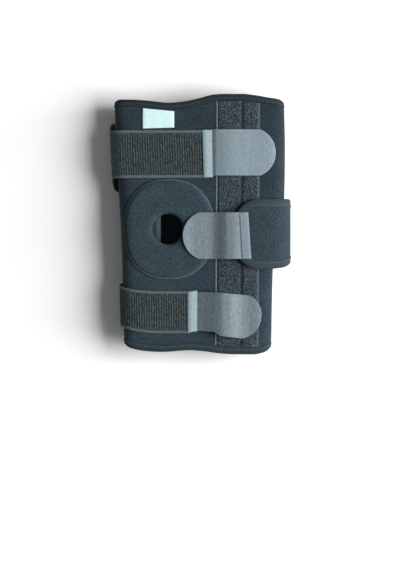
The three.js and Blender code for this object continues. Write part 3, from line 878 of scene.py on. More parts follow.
def cloth(
    name, dark, light, layers, low=0.3, high=0.7,
    fade=NO_PAINTED_LIGHT, roughness=0.9, sheen=0.04, specular=0.25, bump=0.5, depth=0.15,
):
    """A cloth material. Each layer is a texture with its weights in the colour and in the relief. The
    colour goes from dark to light between a low and a high value; depth is the relief in mm."""
    made = bpy.data.materials.new(name)
    made.use_nodes = True
    tree = made.node_tree
    placed = [(texture(tree), colour, height) for texture, colour, height in layers]
    pattern = blended(tree, [(texture, colour) for texture, colour, _ in placed])
    relief = blended(tree, [(texture, height) for texture, _, height in placed])
    bumps = {"Height": relief, "Strength": bump, "Distance": depth * MM}
    fill_in(tree, tree.nodes["Principled BSDF"], {
        "Base Color": painted_light_gradient(tree, ramp(tree, pattern, low, dark, high, light), fade),
        "Normal": node(tree, "ShaderNodeBump", bumps).outputs[0],
        "Roughness": roughness,
        "Sheen Weight": sheen,
        "Specular IOR Level": specular,
    })
    return made


# Textures: each adds its nodes to a material's tree

def grain(scale, detail=2, roughness=0.55, stretch=(1, 1)):
    """Noise on the flat cloth, stretched along it and across it."""
    return lambda tree: noise(tree, cloth_place(tree, *stretch), scale, detail, roughness)


def fibre(scale):
    """Noise through the object's own space."""
    return lambda tree: noise(tree, body_place(tree), scale)


def weave(scale, direction, distortion):
    """Waves over the flat cloth."""
    return lambda tree: waves(tree, scale, direction, distortion)


def point_tone(tree):
    """The tone that the mesh's own points carry."""
    return node(tree, "ShaderNodeAttribute", attribute_name="tone").outputs["Fac"]


def cloth_width(tree):
    """How far along the flat cloth's first direction a point lies, in centimetres."""
    return node(tree, "ShaderNodeSeparateXYZ", {"Vector": cloth_place(tree)}).outputs["X"]


# Cloths and threads

def jersey(name, colour, fade=NO_PAINTED_LIGHT):
    """Fine knitted face of the neoprene: speckle, slow unevenness, and wales in relief."""
    layers = [
        (grain(4.6, 3, 0.72), 0.82, 0.8),
        (grain(0.5), 0.18, 0),
        (weave(2.6, "X", 1.5), 0, 0.3),
        (weave(3.4, "Y", 1.0), 0, 0.3),
    ]
    return cloth(name, *shades(colour, 0.42, 1.75), layers, 0.34, 0.66, fade, roughness=0.92, depth=0.25)


def woven_tape(name, colour, fade=NO_PAINTED_LIGHT):
    """Binding tape: a tight twill."""
    layers = [
        (grain(5.5, 3, 0.7), 0.75, 0.75),
        (weave(3.0, "DIAGONAL", 0.6), 0.25, 0.25),
    ]
    finish = {"roughness": 0.88, "sheen": 0.05, "depth": 0.2}
    return cloth(name, *shades(colour, 0.55, 1.5), layers, fade=fade, **finish)


def ribbed(name, valley, ridge):
    """Knitted elastic by the mesh's tone: painted shade between the ribs, painted light round the fold."""
    layers = [
        (point_tone, 0.5, 0),
        (grain(7, 3, 0.75, (1, 0.4)), 1, 1),
    ]
    return cloth(name, valley, ridge, layers, 0.53, 1.0)


def looped(name, dark, light):
    """Pile loops, each with its own tone, darker beside the groove as painted shade."""
    layers = [
        (point_tone, 0.8, 0),
        (fibre(2600), 0.4, 1),
    ]
    return cloth(name, dark, light, layers, 0.2, 1.0, depth=0.05)


def grained(name, colour, dark, light):
    """Smooth woven tape with a fine grain and soft streaks across its length."""
    layers = [
        (grain(8, 4, 0.7, (1, 0.25)), 0.8, 1),
        (grain(2.4, stretch=(1, 0.06)), 0.2, 0),
    ]
    finish = {"roughness": 0.6, "specular": 0.4, "bump": 0.35, "depth": 0.12}
    return cloth(name, *shades(colour, dark, light), layers, **finish)


def creased(name, dark, light):
    """Soft folded webbing with fine creases along its short side."""
    layers = [
        (grain(6, 3, 0.6, (0.35, 1)), 0.6, 1),
        (grain(7, 3, 0.7), 0.4, 0),
    ]
    return cloth(name, dark, light, layers, depth=0.25)


def speckled(name, dark, light, scale):
    """Plain cloth or foam with a fine two-tone speckle."""
    layers = [(grain(scale, 4, 0.75), 1, 1)]
    return cloth(name, dark, light, layers, 0.32, 0.68, roughness=0.95, depth=0.3)


def painted_light_cloth(name, dark, light):
    """Facing cloth with painted light: paler across its width, toward the flap's end, and toward the thigh end."""
    layers = [
        (cloth_width, 1.1, 0),
        (grain(8, 3, 0.7), 0.2, 1),
    ]
    return cloth(name, dark, light, layers, 0.5, 1.0, fade=(0, 12), roughness=0.95)


def satin(name, dark, light):
    """The label's close satin weave."""
    layers = [
        (weave(5.5, "X", 0.4), 0.3, 0.3),
        (weave(7, "Y", 0.4), 0.3, 0.3),
        (grain(1.4), 0.4, 0.4),
    ]
    finish = {"roughness": 0.5, "sheen": 0, "specular": 0.4, "bump": 0.3, "depth": 0.08}
    return cloth(name, dark, light, layers, 0.25, 0.75, **finish)


def thread(name, dark, light, fade=NO_PAINTED_LIGHT):
    """Sewing thread with a slight unevenness from stitch to stitch."""
    layers = [(fibre(900), 1, 1)]
    return cloth(name, dark, light, layers, fade=fade, roughness=0.7, sheen=0, specular=0.3, depth=0.05)


# The neoprene face gets darker toward the right and toward the top: painted shade.
NEOPRENE_FACE = jersey("neoprene_face", srgb(32, 45, 53), fade=(-1.5, -1.0))
WING_FACE = jersey("wing_face", srgb(34, 47, 54))
NEOPRENE_LINING = jersey("neoprene_lining", srgb(47, 61, 68))
NEOPRENE_FOAM = speckled("neoprene_foam", srgb(14, 17, 19), srgb(34, 39, 42), 14)
# Painted light: a pale facing for the flap's end, paler toward its end and toward the top.
FACING_PAINTED_LIGHT = painted_light_cloth("flap_facing", srgb(42, 56, 62), srgb(90, 109, 110))
PAD_FACE = jersey("pad_face", srgb(38, 53, 60))
# The binding tape gets paler toward the right and darker toward the top: painted light and shade.
BINDING = woven_tape("binding_tape", srgb(25, 39, 43), fade=(2.2, -1.9))
BINDING_WING = woven_tape("binding_tape_wing", srgb(38, 51, 57))
RIBS = ribbed("elastic_ribs", srgb(23, 30, 32), srgb(70, 83, 86))
EDGING = speckled("elastic_selvedge", srgb(54, 65, 68), srgb(92, 105, 108), 7)
PILE_BASE = speckled("pile_ground", srgb(28, 38, 43), srgb(56, 70, 77), 9)
PILE = looped("pile_loops", srgb(28, 39, 44), srgb(126, 144, 154))
STRIP_EDGE_LEFT = speckled("strip_edge_left", srgb(90, 105, 113), srgb(124, 140, 148), 7)
STRIP_EDGE_RIGHT = speckled("strip_edge_right", srgb(50, 63, 70), srgb(80, 95, 103), 7)
# One hook tape in three shades, the upper tab lightest and the lower darkest: painted light.
HOOK_UPPER = grained("hook_tape_upper", srgb(109, 124, 131), 0.68, 1.32)
HOOK_MIDDLE = grained("hook_tape_middle", srgb(101, 113, 120), 0.55, 1.45)
HOOK_LOWER = grained("hook_tape_lower", srgb(91, 105, 112), 0.5, 1.5)
BAND = creased("sewn_band", srgb(124, 142, 149), srgb(158, 177, 184))
BAND_MIDDLE = creased("sewn_band_middle", srgb(84, 98, 105), srgb(120, 137, 144))
LABEL_FACE = satin("label_satin", srgb(172, 202, 203), srgb(206, 234, 235))
THREAD_DARK = thread("thread_dark", srgb(46, 58, 62), srgb(70, 84, 89))
# The tick stitches get darker toward the top: painted shade.
THREAD_TICK = thread("thread_tick", srgb(50, 65, 71), srgb(72, 88, 95), fade=(0, -2.2))
THREAD_TAPE = thread("thread_tape", srgb(64, 79, 86), srgb(92, 108, 115))
# The ring's thread gets much darker toward its left and a little toward the top: painted shade.
THREAD_RING = thread("thread_ring", srgb(61, 78, 85), srgb(92, 111, 118), fade=(8.5, -1.0))
THREAD_TAB = thread("thread_tab", srgb(96, 110, 117), srgb(122, 137, 144))
THREAD_SEAM = thread("thread_seam", srgb(40, 49, 54), srgb(62, 72, 78))
THREAD_WHITE = thread("thread_white", srgb(188, 206, 209), srgb(226, 240, 242))


# Pieces

def dress(piece, slot, *nodes):
    """Fixes a piece to the part, with its record slot and the CAD nodes it stands for."""
    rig.ride(piece, "root")
    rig.slot(piece, slot)
    if nodes:
        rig.replaces(piece, *nodes)
    return piece


def cut_cloth(piece, width, length, held, rests_on=(), area=None, with_pieces=()):
    """Declares a piece as a sheet that was cut flat, with its sizes in millimetres."""
    flat_area = None if area is None else area * MM**2
    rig.sheet(piece, (width * MM, length * MM), held, rests_on, flat_area, with_pieces)


WRAP_TURNS = spaced((0, 1, 2, 4, 5, 6), (40, 26, 136, 20, 20))
BOUND_ROWS = 4
BODY_ROWS = 142
BOUND_STEP = BINDING_DEPTH + SQUEEZE_EASE * np.array([0.5, 1])
FACING_TURNS = np.linspace(5.74, 5.995, 20)
FACING_ROWS = 61
FACING_CLOTH = 0.5
FACING_INSET = 12


def facing():
    """A pale sheet along the inner flap's free end, on the side seen through the opening: painted light."""
    turns = FACING_TURNS[:, None]
    top, bottom = edges(turns)
    y = lerp(bottom + FACING_INSET, top - FACING_INSET, np.linspace(0, 1, FACING_ROWS))
    under = wrap(turns, y, -NEOPRENE - TAPE_GAP)
    over = wrap(turns, y, -NEOPRENE - TAPE_GAP - FACING_CLOTH)
    run = travelled(over[:, FACING_ROWS // 2])[:, None]
    return dress(shell("flap_facing", under, over, [FACING_PAINTED_LIGHT], (run, y)), "neoprene")


def sleeve():
    turns = WRAP_TURNS[:, None]
    top, bottom = edges(turns)
    near = np.concatenate([np.linspace(BINDING_TAPE + GAP, BINDING_DEPTH, BOUND_ROWS), BOUND_STEP])
    body = lerp(bottom + near[-1], top - near[-1], np.linspace(0, 1, BODY_ROWS)[1:-1])
    y = np.concatenate([bottom + near, body, top - near[::-1]], axis=1)
    run = travelled(wrap(turns, 0 * turns, -NEOPRENE / 2)[:, 0])[:, None]
    outer = wrap(turns, y, 0)
    inner = wrap(turns, y, -NEOPRENE)
    reach = np.linalg.norm(outer[..., :2] - PATELLA, axis=-1)
    front = (turns > 2) & (turns < 4)
    within = (reach < OPENING_RADIUS) & front
    for side in (outer, inner):
        pushed = OPENING_RADIUS * unit(side[..., :2] - PATELLA) + PATELLA
        side[..., :2] = np.where(within[..., None], pushed, side[..., :2])
    keep = ~(within[:-1, :-1] & within[1:, :-1] & within[1:, 1:] & within[:-1, 1:])
    materials = [NEOPRENE_FACE, NEOPRENE_LINING, NEOPRENE_FOAM]
    piece = shell("sleeve", outer, inner, materials, (run, y), keep=keep)
    dress(piece, "neoprene", "sleeve_wrap")
    cut_cloth(piece, run[-1, 0], np.max(top - bottom), "folded", with_pieces=[facing()])


TAPE_NOSE = 2.0
NOSE_ANGLES = np.linspace(QUARTER, -QUARTER, 13)
LEG_SHARES = np.array([0, 0.03, 0.1, 0.25, 0.45, 0.65, 0.85, 1])
LEG_DROOP = 0.55
LEG_DROOP_POWER = 8


def tape_profile(inset, reach):
    """Depths and rises of a binding tape folded over an edge, inset from its outer face."""
    high = TAPE_GAP + BINDING_TAPE - inset
    middle = -NEOPRENE / 2
    nose_depth = TAPE_NOSE - (TAPE_NOSE - inset) * np.cos(NOSE_ANGLES)
    nose_rise = middle + (high - middle) * np.sin(NOSE_ANGLES)
    leg_depth = lerp(reach, TAPE_NOSE, LEG_SHARES)
    droop = LEG_DROOP * (BINDING_TAPE - inset) * (1 - LEG_SHARES) ** LEG_DROOP_POWER
    depths = np.concatenate([leg_depth[:-1], nose_depth, leg_depth[:-1][::-1]])
    rises = np.concatenate([(high - droop)[:-1], nose_rise, 2 * middle - (high - droop)[:-1][::-1]])
    return depths, rises


ROW_DEPTH = 4.0
TICK_INSET = 1.9
PUCKER = 0.16
PUCKER_REACH = 2.4
TAPE_STEP = 1.1


def binding(name, node_name, place, stations, reach, tape, ticks, host):
    """A binding along an edge: place(station, depth, rise) gives its points."""
    run = travelled(place(stations, 0, 0))
    pucker = PUCKER * np.cos(2 * math.pi * run / STITCH_PITCH)[:, None]
    sides = []
    for inset in (0, BINDING_TAPE):
        depths, rises = tape_profile(inset, reach)
        sewn = np.exp(-(((depths - reach / 2) / PUCKER_REACH) ** 2)) * (inset == 0)
        sides.append(place(stations[:, None], depths, rises - pucker * sewn))
    around = travelled(place(stations[0], *tape_profile(0, reach)))
    piece = shell(name, *sides, [tape], (run[:, None], around))
    dress(piece, "binding", node_name)
    row = lambda depth: lambda rise: place(stations, depth, TAPE_GAP + BINDING_TAPE + rise)
    plain_row = dress(stitches(name + "_stitches", [row(ROW_DEPTH)], THREAD_DARK), "binding")
    tick_row = stitches(name + "_ticks", [row(reach - TICK_INSET)], ticks, **TICK_SEWING)
    dress(tick_row, "binding")
    cut_cloth(piece, around[-1], run[-1], "folded", [host], with_pieces=[plain_row, tick_row])


def end_bindings():
    length = travelled(wrap(WRAP_TURNS, 0 * WRAP_TURNS, 0))
    stations = np.interp(np.arange(0, length[-1], TAPE_STEP), length, WRAP_TURNS)
    stations = np.append(stations, WRAP_TURNS[-1])
    upper = lambda turn, depth, rise: wrap(turn, edges(turn)[0] - depth, rise)
    lower = lambda turn, depth, rise: wrap(turn, edges(turn)[1] + depth, rise)
    rest = (stations, BINDING_DEPTH, BINDING, THREAD_TICK, "sleeve")
    binding("top_edge_tape", "top_binding", upper, *rest)
    binding("bottom_edge_tape", "bottom_binding", lower, *rest)


PAD_SPOKES = 220
PAD_OUTS = spaced((0, 0.1, 0.8, 1), (8, 24, 16))
LIP = table(
    "inset rise",
    (1.7, -4.6), (1.5, -3.0), (1.1, -1.2), (0.6, 0.4),
)
LIP_CLOTH = 0.45
LIP_INSET = 0.3
LIP_EASE = 0.04
SCALLOP = 0.28
SCALLOP_FADE = 1.5
SCALLOPS = 34
SCALLOP_SWAY = 2
SCALLOP_SWAYS = 3
RING_OUT = 0.992
RING_POINTS = 700


def pad_plan(angle, out, inset=0):
    """Plan position over the pad: out runs from the opening's edge (0) to the sewn edge (1)."""
    cos, sin = np.cos(angle), np.sin(angle)
    hole = OPENING_RADIUS - inset
    edge_x = PAD_CENTRE[0] + PAD_HALF_WIDTH * fuller(cos, PAD_FULLNESS)
    edge_y = PAD_CENTRE[1] + PAD_HALF_LENGTH * fuller(sin, PAD_FULLNESS)
    return lerp(PATELLA[0] + hole * cos, edge_x, out), lerp(PATELLA[1] + hole * sin, edge_y, out)


def pad():
    angle = np.arange(PAD_SPOKES)[:, None] / PAD_SPOKES * 2 * math.pi
    height = curve(PAD, "out", "height")
    scallop = SCALLOP * np.sin(SCALLOPS * angle + SCALLOP_SWAY * np.sin(SCALLOP_SWAYS * angle))
    out = np.concatenate([0 * LIP["rise"], PAD_OUTS])
    near = np.exp(-PAD_OUTS / LIP_EASE)
    inset = np.concatenate([LIP["inset"], LIP_INSET * near])
    rise = np.concatenate([LIP["rise"], GAP + PAD_HEIGHT * height(PAD_OUTS)])
    edge = np.concatenate([np.exp(np.minimum(0, LIP["rise"]) / SCALLOP_FADE), near])
    x, y = pad_plan(angle, out, inset + scallop * edge)
    outer = on_front(x, y, rise)
    x, y = pad_plan(angle, out, inset - LIP_CLOTH + scallop * edge)
    inner = on_front(x, y, np.concatenate([LIP["rise"], np.full(len(PAD_OUTS), GAP)]))
    inner[:, len(LIP["rise"]):] = on_front(*pad_plan(angle, PAD_OUTS), GAP)
    piece = shell("pad", outer, inner, [PAD_FACE], (outer[..., 0], outer[..., 1]), ring=True)
    dress(piece, "pad", "patella_pad")
    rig.padded(piece, fill=0.8)
    turn = np.linspace(0, 2 * math.pi, RING_POINTS)
    seat = GAP + PAD_HEIGHT * PAD["height"][-1]
    ring = lambda rise: on_front(*pad_plan(turn, RING_OUT), seat + rise)
    dress(stitches("pad_stitches", [ring], THREAD_RING, **RING_SEWING), "pad")


STRIP_ROUND = 0.5
STRIP_COLUMNS = 90
STRIP_ROWS = 160


def strip_place(across, share, rise):
    """A point over the front, at a place across the strip and a share of its length."""
    x = STRIP_LEFT + across + STRIP_SLANT * (share - 1)
    top, bottom = edges(front_turn(x, lerp(bottom_edge(0), top_edge(0), share)))
    margin = BINDING_DEPTH + GAP
    return on_front(x, lerp(bottom + margin, top - margin, share), rise)


def on_strip(across, share, rise):
    """The same, with the rise measured from the strip's face."""
    return strip_place(across, share, STRIP_SEAT + strip_height(across) + rise)


def strip():
    width = STRIP["x"][-1]
    across = edged(width, STRIP_ROUND, STRIP_COLUMNS)[:, None]
    share = np.linspace(0, 1, STRIP_ROWS)
    outer = on_strip(across, share, 0)
    inner = strip_place(across, share, STRIP_SEAT + 0 * across)
    length = travelled(inner[len(across) // 2])
    middle = between(across)
    paint = np.select([middle < STRIP_SELVEDGE, middle > width - STRIP_SELVEDGE], [1, 2], 0)
    materials = [PILE_BASE, STRIP_EDGE_LEFT, STRIP_EDGE_RIGHT, PILE_BASE, PILE_BASE]
    piece = shell("strip", outer, inner, materials, (across, length), paint=paint)
    dress(piece, "loop_pile", "loop_strip")
    row = lambda place: lambda rise: on_strip(place, share, rise)
    rows = [row(STRIP_SELVEDGE / 2), row(width - STRIP_SELVEDGE / 2)]
    sewn = dress(stitches("strip_stitches", rows, THREAD_DARK, **STRIP_SEWING), "loop_pile")
    piles = [pile("pile_left", PILE_START, STRIP_GROOVE), pile("pile_right", STRIP_GROOVE, PILE_END)]
    cut_cloth(piece, width, length[-1], "laid", ["sleeve"], with_pieces=[sewn, *piles])


PILE_START = 3.2
PILE_END = 45.2
PILE_SPACING = 0.86
PILE_LENGTH = 262
PILE_SPAN = (0.004, 0.996)
PILE_JITTER = 0.45
PILE_CLEARANCE = 1.6
# Painted shade: how much darker the loops beside the strip's groove are
GROOVE_SHADE = 0.8
LOOP_SHARES = np.linspace(-1, 1, 5)
LOOP_ARCH = 1 - LOOP_SHARES**2
LOOP_RADII = np.array([0.22, 0.23, 0.24, 0.23, 0.22])
LOOP_SIDES = 4
LOOP_REACH = (0.25, 0.5)
LOOP_HEIGHT = (0.5, 1.15)
LOOP_LEAN = 0.3
LOOP_SUNK = 0.15
LOOP_TONES = (1.0, 1.9)


def covered(x, y):
    """Whether a tab or the wing lies over a plan point of the pile."""
    hidden = wing_share(x, y, 3) < 1
    for spec in TABS:
        run = (x - spec["seam"]) * np.sign(spec["tip"] - spec["seam"])
        beside = y - spec["middle"] - spec["slope"] * run
        radius, centre, body = tip_arc(spec)
        in_tip = np.hypot(run - centre, beside) < radius + PILE_CLEARANCE
        in_body = (run > 0) & (np.abs(beside) < spec["half"] + PILE_CLEARANCE)
        hidden = hidden | np.where(run < body, in_body, in_tip)
    return hidden


def pile(name, first, last):
    """Loops that stand on the strip between two places across it."""
    across, share = np.meshgrid(
        np.arange(first, last, PILE_SPACING),
        np.arange(*PILE_SPAN, PILE_SPACING / PILE_LENGTH),
        indexing="ij",
    )
    across = (across + RANDOM.uniform(-PILE_JITTER, PILE_JITTER, across.shape)).ravel()
    share = (share + RANDOM.uniform(-PILE_JITTER, PILE_JITTER, share.shape) / PILE_LENGTH).ravel()
    foot = on_strip(across, share, 0)
    open_air = ~covered(foot[:, 0], foot[:, 1])
    across, share, foot = across[open_air], share[open_air], foot[open_air]
    up = unit(on_strip(across, share, 1) - foot)
    heading = RANDOM.uniform(0, 2 * math.pi, len(foot))
    level = stacked(np.cos(heading), np.sin(heading), 0 * heading)
    level = unit(level - up * np.sum(level * up, axis=1, keepdims=True))
    reach = RANDOM.uniform(*LOOP_REACH, len(foot))[:, None, None]
    tall = RANDOM.uniform(*LOOP_HEIGHT, len(foot))[:, None, None]
    lean = unit(up + RANDOM.normal(0, LOOP_LEAN, up.shape))[:, None]
    centres = foot[:, None] + level[:, None] * reach * LOOP_SHARES[:, None]
    centres = centres + lean * tall * LOOP_ARCH[:, None] - LOOP_SUNK * up[:, None]
    ups = np.broadcast_to(np.cross(level, up)[:, None], centres.shape)
    # Loops beside the strip's groove take a darker tone: painted shade in the groove.
    sunk = np.exp(-(((across - STRIP_GROOVE) / GROOVE_WIDTH) ** 2))
    tone = RANDOM.beta(*LOOP_TONES, len(foot)) * (1 - GROOVE_SHADE * sunk)
    return dress(tubes(name, centres, ups, LOOP_RADII, LOOP_SIDES, PILE, tone=tone), "loop_pile")


LABEL_ROUND = 0.4
LABEL_COLUMNS = 40
LABEL_ROWS = 26
LABEL_HEIGHT = 20
LABEL_MARGIN = 1.0
LABEL_PUFF = 0.25
PUFF_FROM = 0.8
PUFF_EASE = 2.5


def label():
    top, bottom = curve(LABEL, "x", "top"), curve(LABEL, "x", "bottom")
    first, last = LABEL["x"]
    from_left = edged(last - first, LABEL_ROUND, LABEL_COLUMNS)[:, None]
    x = first + from_left
    tall = top(x) - bottom(x)
    shares = edged(LABEL_HEIGHT, LABEL_ROUND, LABEL_ROWS) / LABEL_HEIGHT
    y = lerp(bottom(x), top(x), shares)
    from_edge = np.minimum(np.minimum(from_left, last - x), np.minimum(shares, 1 - shares) * tall)
    thick = LABEL_CLOTH * edge_round(from_edge, LABEL_ROUND)
    puff = LABEL_PUFF * smoothstep((from_edge - PUFF_FROM) / PUFF_EASE)
    outer = on_front(x, y, GAP + thick + puff)
    inner = on_front(x, y, GAP + 0 * thick)
    piece = shell("label_patch", outer, inner, [LABEL_FACE], (from_left, y))
    dress(piece, "label", "label")

    def seam(across, up):
        path_x = lerp(first + LABEL_MARGIN, last - LABEL_MARGIN, across) + 0 * up
        path_y = lerp(bottom(path_x) + LABEL_MARGIN, top(path_x) - LABEL_MARGIN, up)
        return lambda rise: on_front(path_x, path_y, GAP + LABEL_CLOTH + rise)

    path = np.linspace(0, 1, PATH_POINTS)
    lines = [seam(path, 1), seam(path, 0), seam(0, path), seam(1, path)]
    sewn = dress(stitches("label_stitches", lines, THREAD_WHITE, **LABEL_SEWING), "label")
    cut_cloth(piece, last - first, np.max(tall), "laid", ["sleeve"], with_pieces=[sewn])


def bead_heights(rib, across, width):
    """Height of each rib along its length, uneven from bead to bead."""
    count = math.ceil(width / RIB_BEAD) + SPARE_BEADS
    heights = RANDOM.uniform(RIB_LOW, 1, (np.max(rib) + 1, count))
    shift = RANDOM.uniform(0, 1, np.max(rib) + 1)
    place = across / RIB_BEAD + shift[rib]
    bead = np.floor(place).astype(int)
    return lerp(heights[rib, bead], heights[rib, bead + 1], smoothstep(place - bead))


ROUTE_POINTS = 4000
STRAP_ROWS = 48
STRAP_ROUND = 1.0
SELVEDGE_EASE = 0.8


def strap(name, node_name, spec):
    rows, base_end = spec["rows"], spec["base_end"]
    top, bottom, lift = (curve(rows, "turn", column) for column in ("top", "bottom", "lift"))
    last = rows["turn"][-1]
    fine = np.linspace(rows["turn"][0], last, ROUTE_POINTS)
    middle = strap_route(fine, lerp(bottom(fine), top(fine), 0.5), lift(fine) + ELASTIC / 2, base_end)
    length = travelled(middle)
    run = np.arange(0, length[-1], RIB_PITCH / RIB_STEPS)[:, None]
    turns = np.interp(run, length, fine)
    width = top(last) - bottom(last)
    shares = edged(width, STRAP_ROUND, STRAP_ROWS) / width
    y = lerp(bottom(turns), top(turns), shares)
    from_edge = np.minimum(shares, 1 - shares) * width
    body = smoothstep((from_edge - SELVEDGE) / SELVEDGE_EASE + 0.5)
    phase = run / RIB_PITCH + 0 * shares
    ridge = 0.5 + 0.5 * np.cos(2 * math.pi * phase)
    beads = ridge * bead_heights(np.floor(phase + 0.5).astype(int), shares * width + 0 * run, width)
    # The tone: painted shade in the valleys between ribs, uneven from bead to bead, and painted light round the left
    # fold.
    tone = beads + spec["stretch"] * curve(FOLD_PAINTED_LIGHT, "turn", "share")(turns)
    thick = ELASTIC * edge_round(from_edge, STRAP_ROUND)
    sunk = RIB_DEPTH * (1 - beads) * body
    centre = lift(turns) + ELASTIC / 2
    outer = strap_route(turns + 0 * y, y, centre + thick / 2 - sunk, base_end)
    inner = strap_route(turns + 0 * y, y, centre - thick / 2, base_end)
    paint = np.where(between(from_edge) < SELVEDGE, 1, 0)
    piece = shell(name, outer, inner, [RIBS, EDGING, RIBS, RIBS], (run, y), paint=paint, tone=tone)
    dress(piece, "elastic", node_name)
    cut_cloth(piece, width, length[-1], "folded", ["sleeve"])


def tip_arc(spec):
    """The arc that ends a tab: its radius, and the runs of its centre and of its start."""
    length = abs(spec["tip"] - spec["seam"])
    radius = (spec["half"] ** 2 + TAB_ROUND**2) / (2 * TAB_ROUND)
    return radius, length - radius, length - TAB_ROUND


TIP_STEPS = 40
TIP_CLOSE = 0.99
TIP_LEAST = 0.2
BAND_STEPS = 12
BODY_STEPS = 60
TAB_ROWS = 44
TAB_EDGE = 0.8
TAB_FLANK = 0.7
TAB_SEAT = 0.8 * GAP


def tab(spec, host, hook, band, sewing):
    """A hook tab: a raised sewn band, a plain stretch and a round tip."""
    name = "tab_" + spec["name"]
    reach = spec["tip"] - spec["seam"]
    height = curve(spec["underside"], "x", "height")
    radius, centre, body = tip_arc(spec)
    angles = np.linspace(math.acos(spec["half"] / radius), TIP_CLOSE * QUARTER, TIP_STEPS)
    runs = np.concatenate([
        edged(SEAM_WIDTH, SEAM_ROUND, BAND_STEPS),
        SEAM_WIDTH + SEAM_STEP * np.array([1, 2]),
        np.linspace(SEAM_WIDTH + 3 * SEAM_STEP, body, BODY_STEPS),
        centre + radius * np.sin(angles[1:]),
    ])
    run = runs[:, None]
    in_tip = run > body
    in_band = run <= SEAM_WIDTH
    tip_half = np.sqrt(np.maximum(TIP_LEAST, radius**2 - (run - centre) ** 2))
    flared = spec["half"] * (1 - spec["flare"] * (1 - smoothstep(run / SEAM_EASE)))
    half = np.select([in_band, in_tip], [spec["band_half"], tip_half], flared)
    shares = edged(2 * spec["half"], TAB_EDGE, TAB_ROWS) / spec["half"] - 1
    band_shift = spec["band_tilt"] * (run - SEAM_WIDTH / 2) - spec["band_hang"]
    nipped = spec["nip"] * curve(NIP, "run", "share")(run) * np.maximum(0, -shares)
    beside = shares * half + np.where(in_band, band_shift, nipped)

    def place(run, beside, rise):
        slanted = spec["slant"] * (1 - smoothstep(run / SEAM_EASE))
        leaning = spec["lean"] * smoothstep(run / abs(reach))
        x = spec["seam"] + np.sign(reach) * run + (leaning - slanted) * beside
        y = spec["middle"] + spec["slope"] * run + beside + 0 * x
        over = height(x) + rise
        return on_front(x, y, over) if spec["on_sleeve"] else stacked(x, y, over)

    from_arc = np.where(in_tip, radius - np.hypot(run - centre, beside), radius)
    from_edge = np.minimum(np.minimum((1 - np.abs(shares)) * half, from_arc), run)
    fold = np.where(in_band, edge_round(SEAM_WIDTH - run, SEAM_ROUND), 0)
    past_seam = (run - SEAM_WIDTH - SEAM_STEP) / GROOVE_RUN
    groove = np.where(in_band, 0, spec["groove"] * np.exp(-(past_seam**2)))
    flank = edge_round(from_edge, np.where(in_band, SEAM_ROUND, TAB_FLANK))
    thick = (HOOK_TAPE + SEAM_FOLD * fold - groove) * flank * edge_round(run, SEAM_TAPER)
    lifted = HOOK_TAPE / 2 * (1 - flank) - TAB_SEAT
    outer = place(run, beside, lifted + thick)
    inner = place(run, beside, lifted)
    paint = np.where(between(run) < SEAM_WIDTH, 1, 0)
    piece = shell(name, outer, inner, [hook, band, hook, hook], (run, beside), paint=paint)
    dress(piece, "hook_tab", spec["name"] + "_tab")
    across = (spec["half"] - SEAM_MARGIN) * np.linspace(-1, 1, PATH_POINTS)
    seam = lambda rise: place(SEAM_WIDTH + SEAM_STEP + 0 * across, across, HOOK_TAPE - GAP + rise)
    sewn = dress(stitches(name + "_stitches", [seam], sewing, **TAB_SEWING), "hook_tab")
    length = travelled(outer[:, len(shares) // 2])[-1]
    tip_area = radius**2 * math.asin(spec["half"] / radius) - spec["half"] * (radius - TAB_ROUND)
    area = 2 * spec["half"] * (length - TAB_ROUND) + tip_area
    cut_cloth(piece, 2 * spec["half"], length, "laid", [host, "strip"], area=area, with_pieces=[sewn])


def tabs():
    hosts = ("strap_upper", "strap_lower", "wing")
    hooks = (HOOK_UPPER, HOOK_LOWER, HOOK_MIDDLE)
    bands = (BAND, BAND, BAND_MIDDLE)
    threads = (THREAD_TAB, THREAD_TAB, THREAD_SEAM)
    for choices in zip(TABS, hosts, hooks, bands, threads):
        tab(*choices)


WING_STRAIGHT = spaced((0, 1, 2, wing_turn(WING_ROUND_FROM)), (30, 26, 36))
WING_END = QUARTER * np.linspace(1, 0.015, 36)[1:]
WING_ROWS = 90


def wing():
    tuck = BINDING_TAPE + GAP
    end_turns, end_y = wing_end(WING_END, tuck)
    turns = np.concatenate([WING_STRAIGHT, end_turns])[:, None]
    half = np.concatenate([wing_half(WING_STRAIGHT) - tuck, end_y - wing_middle(3)])[:, None]
    shares = np.linspace(-1, 1, WING_ROWS)
    y = wing_middle(turns) + shares * half
    outer = on_wing(turns, y, 0)
    inner = on_wing(turns, y, -NEOPRENE)
    run = travelled(on_wing(turns, wing_middle(turns), -NEOPRENE / 2)[:, 0])[:, None]
    materials = [WING_FACE, NEOPRENE_LINING, NEOPRENE_FOAM]
    piece = shell("wing", outer, inner, materials, (run, y))
    dress(piece, "neoprene", "middle_wing")
    area = np.sum(np.diff(run[:, 0]) * 2 * between(half[:, 0]))
    cut_cloth(piece, 2 * np.max(half), run[-1, 0], "folded", ["sleeve"], area=area)


WING_STATIONS = spaced((0, 1, 2, 3), (90, 130, 90))


def wing_tape():
    last = WING_STRAIGHT[-1]

    def place(station, depth, rise):
        """The edge in three stretches: out (0 to 1), round the end (1 to 2) and back (2 to 3)."""
        share = np.select([station < 1, station > 2], [station, 3 - station], 1)
        side = np.where(station < 1.5, 1, -1)
        straight = lerp(WING_BINDING_START, last, share)
        edge_y = wing_middle(straight) + side * (wing_half(straight) - depth)
        end_turn, end_y = wing_end(QUARTER * (3 - 2 * np.clip(station, 1, 2)), depth)
        on_end = (station >= 1) & (station <= 2)
        return on_wing(np.where(on_end, end_turn, straight), np.where(on_end, end_y, edge_y), rise)

    rest = (WING_STATIONS, WING_BINDING_DEPTH, BINDING_WING, THREAD_TAPE, "wing")
    binding("wing_edge_tape", "wing_binding", place, *rest)


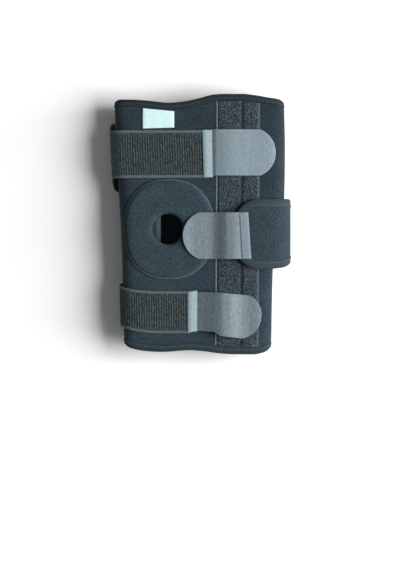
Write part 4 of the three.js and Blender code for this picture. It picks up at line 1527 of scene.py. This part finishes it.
sleeve()
end_bindings()
pad()
label()
strap("strap_upper", "upper_strap", UPPER_STRAP)
strap("strap_lower", "lower_strap", LOWER_STRAP)
wing()
wing_tape()
strip()
tabs()


# Stage, with the lamp's sizes in metres

FLOOR_REACH = 6000
PAPER_DARK = (0.86, 0.86, 0.86, 1)
PAPER_LIGHT = (0.88, 0.88, 0.88, 1)


def floor():
    finish = {"roughness": 1, "sheen": 0, "specular": 0, "bump": 0}
    paper = cloth("floor_paper", PAPER_DARK, PAPER_LIGHT, [(fibre(9), 1, 1)], **finish)
    corners = FLOOR_REACH * np.array([(-1, -1, 0), (1, -1, 0), (1, 1, 0), (-1, 1, 0)])
    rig.stage(build("floor", corners, np.array([(0, 1, 2, 3)]), [paper]))


KEY_ELEVATION = math.radians(36)
KEY_AZIMUTH = math.radians(-2)
KEY_DISTANCE = 3.2
KEY_HEIGHT = 2.7
KEY_WIDTH = 2.1
KEY_POWER = 235
AMBIENT = 0.2


def light():
    lamp = bpy.data.lights.new("key", "AREA")
    lamp.shape = "RECTANGLE"
    lamp.size = KEY_HEIGHT
    lamp.size_y = KEY_WIDTH
    lamp.energy = KEY_POWER
    key = added("key", lamp)
    away = KEY_DISTANCE * math.cos(KEY_ELEVATION)
    high = KEY_DISTANCE * math.sin(KEY_ELEVATION)
    key.location = (away * math.cos(KEY_AZIMUTH), away * math.sin(KEY_AZIMUTH), high)
    key.rotation_euler = (0, QUARTER - KEY_ELEVATION, KEY_AZIMUTH)
    world = bpy.data.worlds.new("studio")
    world.use_nodes = True
    tree = world.node_tree
    fill_in(tree, tree.nodes["Background"], {"Color": (1, 1, 1, 1), "Strength": AMBIENT})
    bpy.context.scene.world = world


def camera():
    view = bpy.data.cameras.new("camera")
    view.sensor_fit = "AUTO"
    view.sensor_width = SENSOR
    view.lens = SENSOR * (CAMERA_HEIGHT - SHARP_PLANE) / (PHOTO_HEIGHT * PHOTO_MM)
    made = added("camera", view)
    x = (PHOTO_WIDTH / 2 - PHOTO_ORIGIN[0]) * PHOTO_MM
    y = (PHOTO_ORIGIN[1] - PHOTO_HEIGHT / 2) * PHOTO_MM
    made.location = (x * MM, y * MM, CAMERA_HEIGHT * MM)
    bpy.context.scene.camera = made


floor()
light()
camera()
bpy.context.scene.view_settings.view_transform = "Standard"

visual_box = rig.bounds()
with open("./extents.json", "w") as sizes:
    json.dump({"cad": [list(v) for v in CAD_BOX], "visual": [list(v) for v in visual_box]}, sizes)
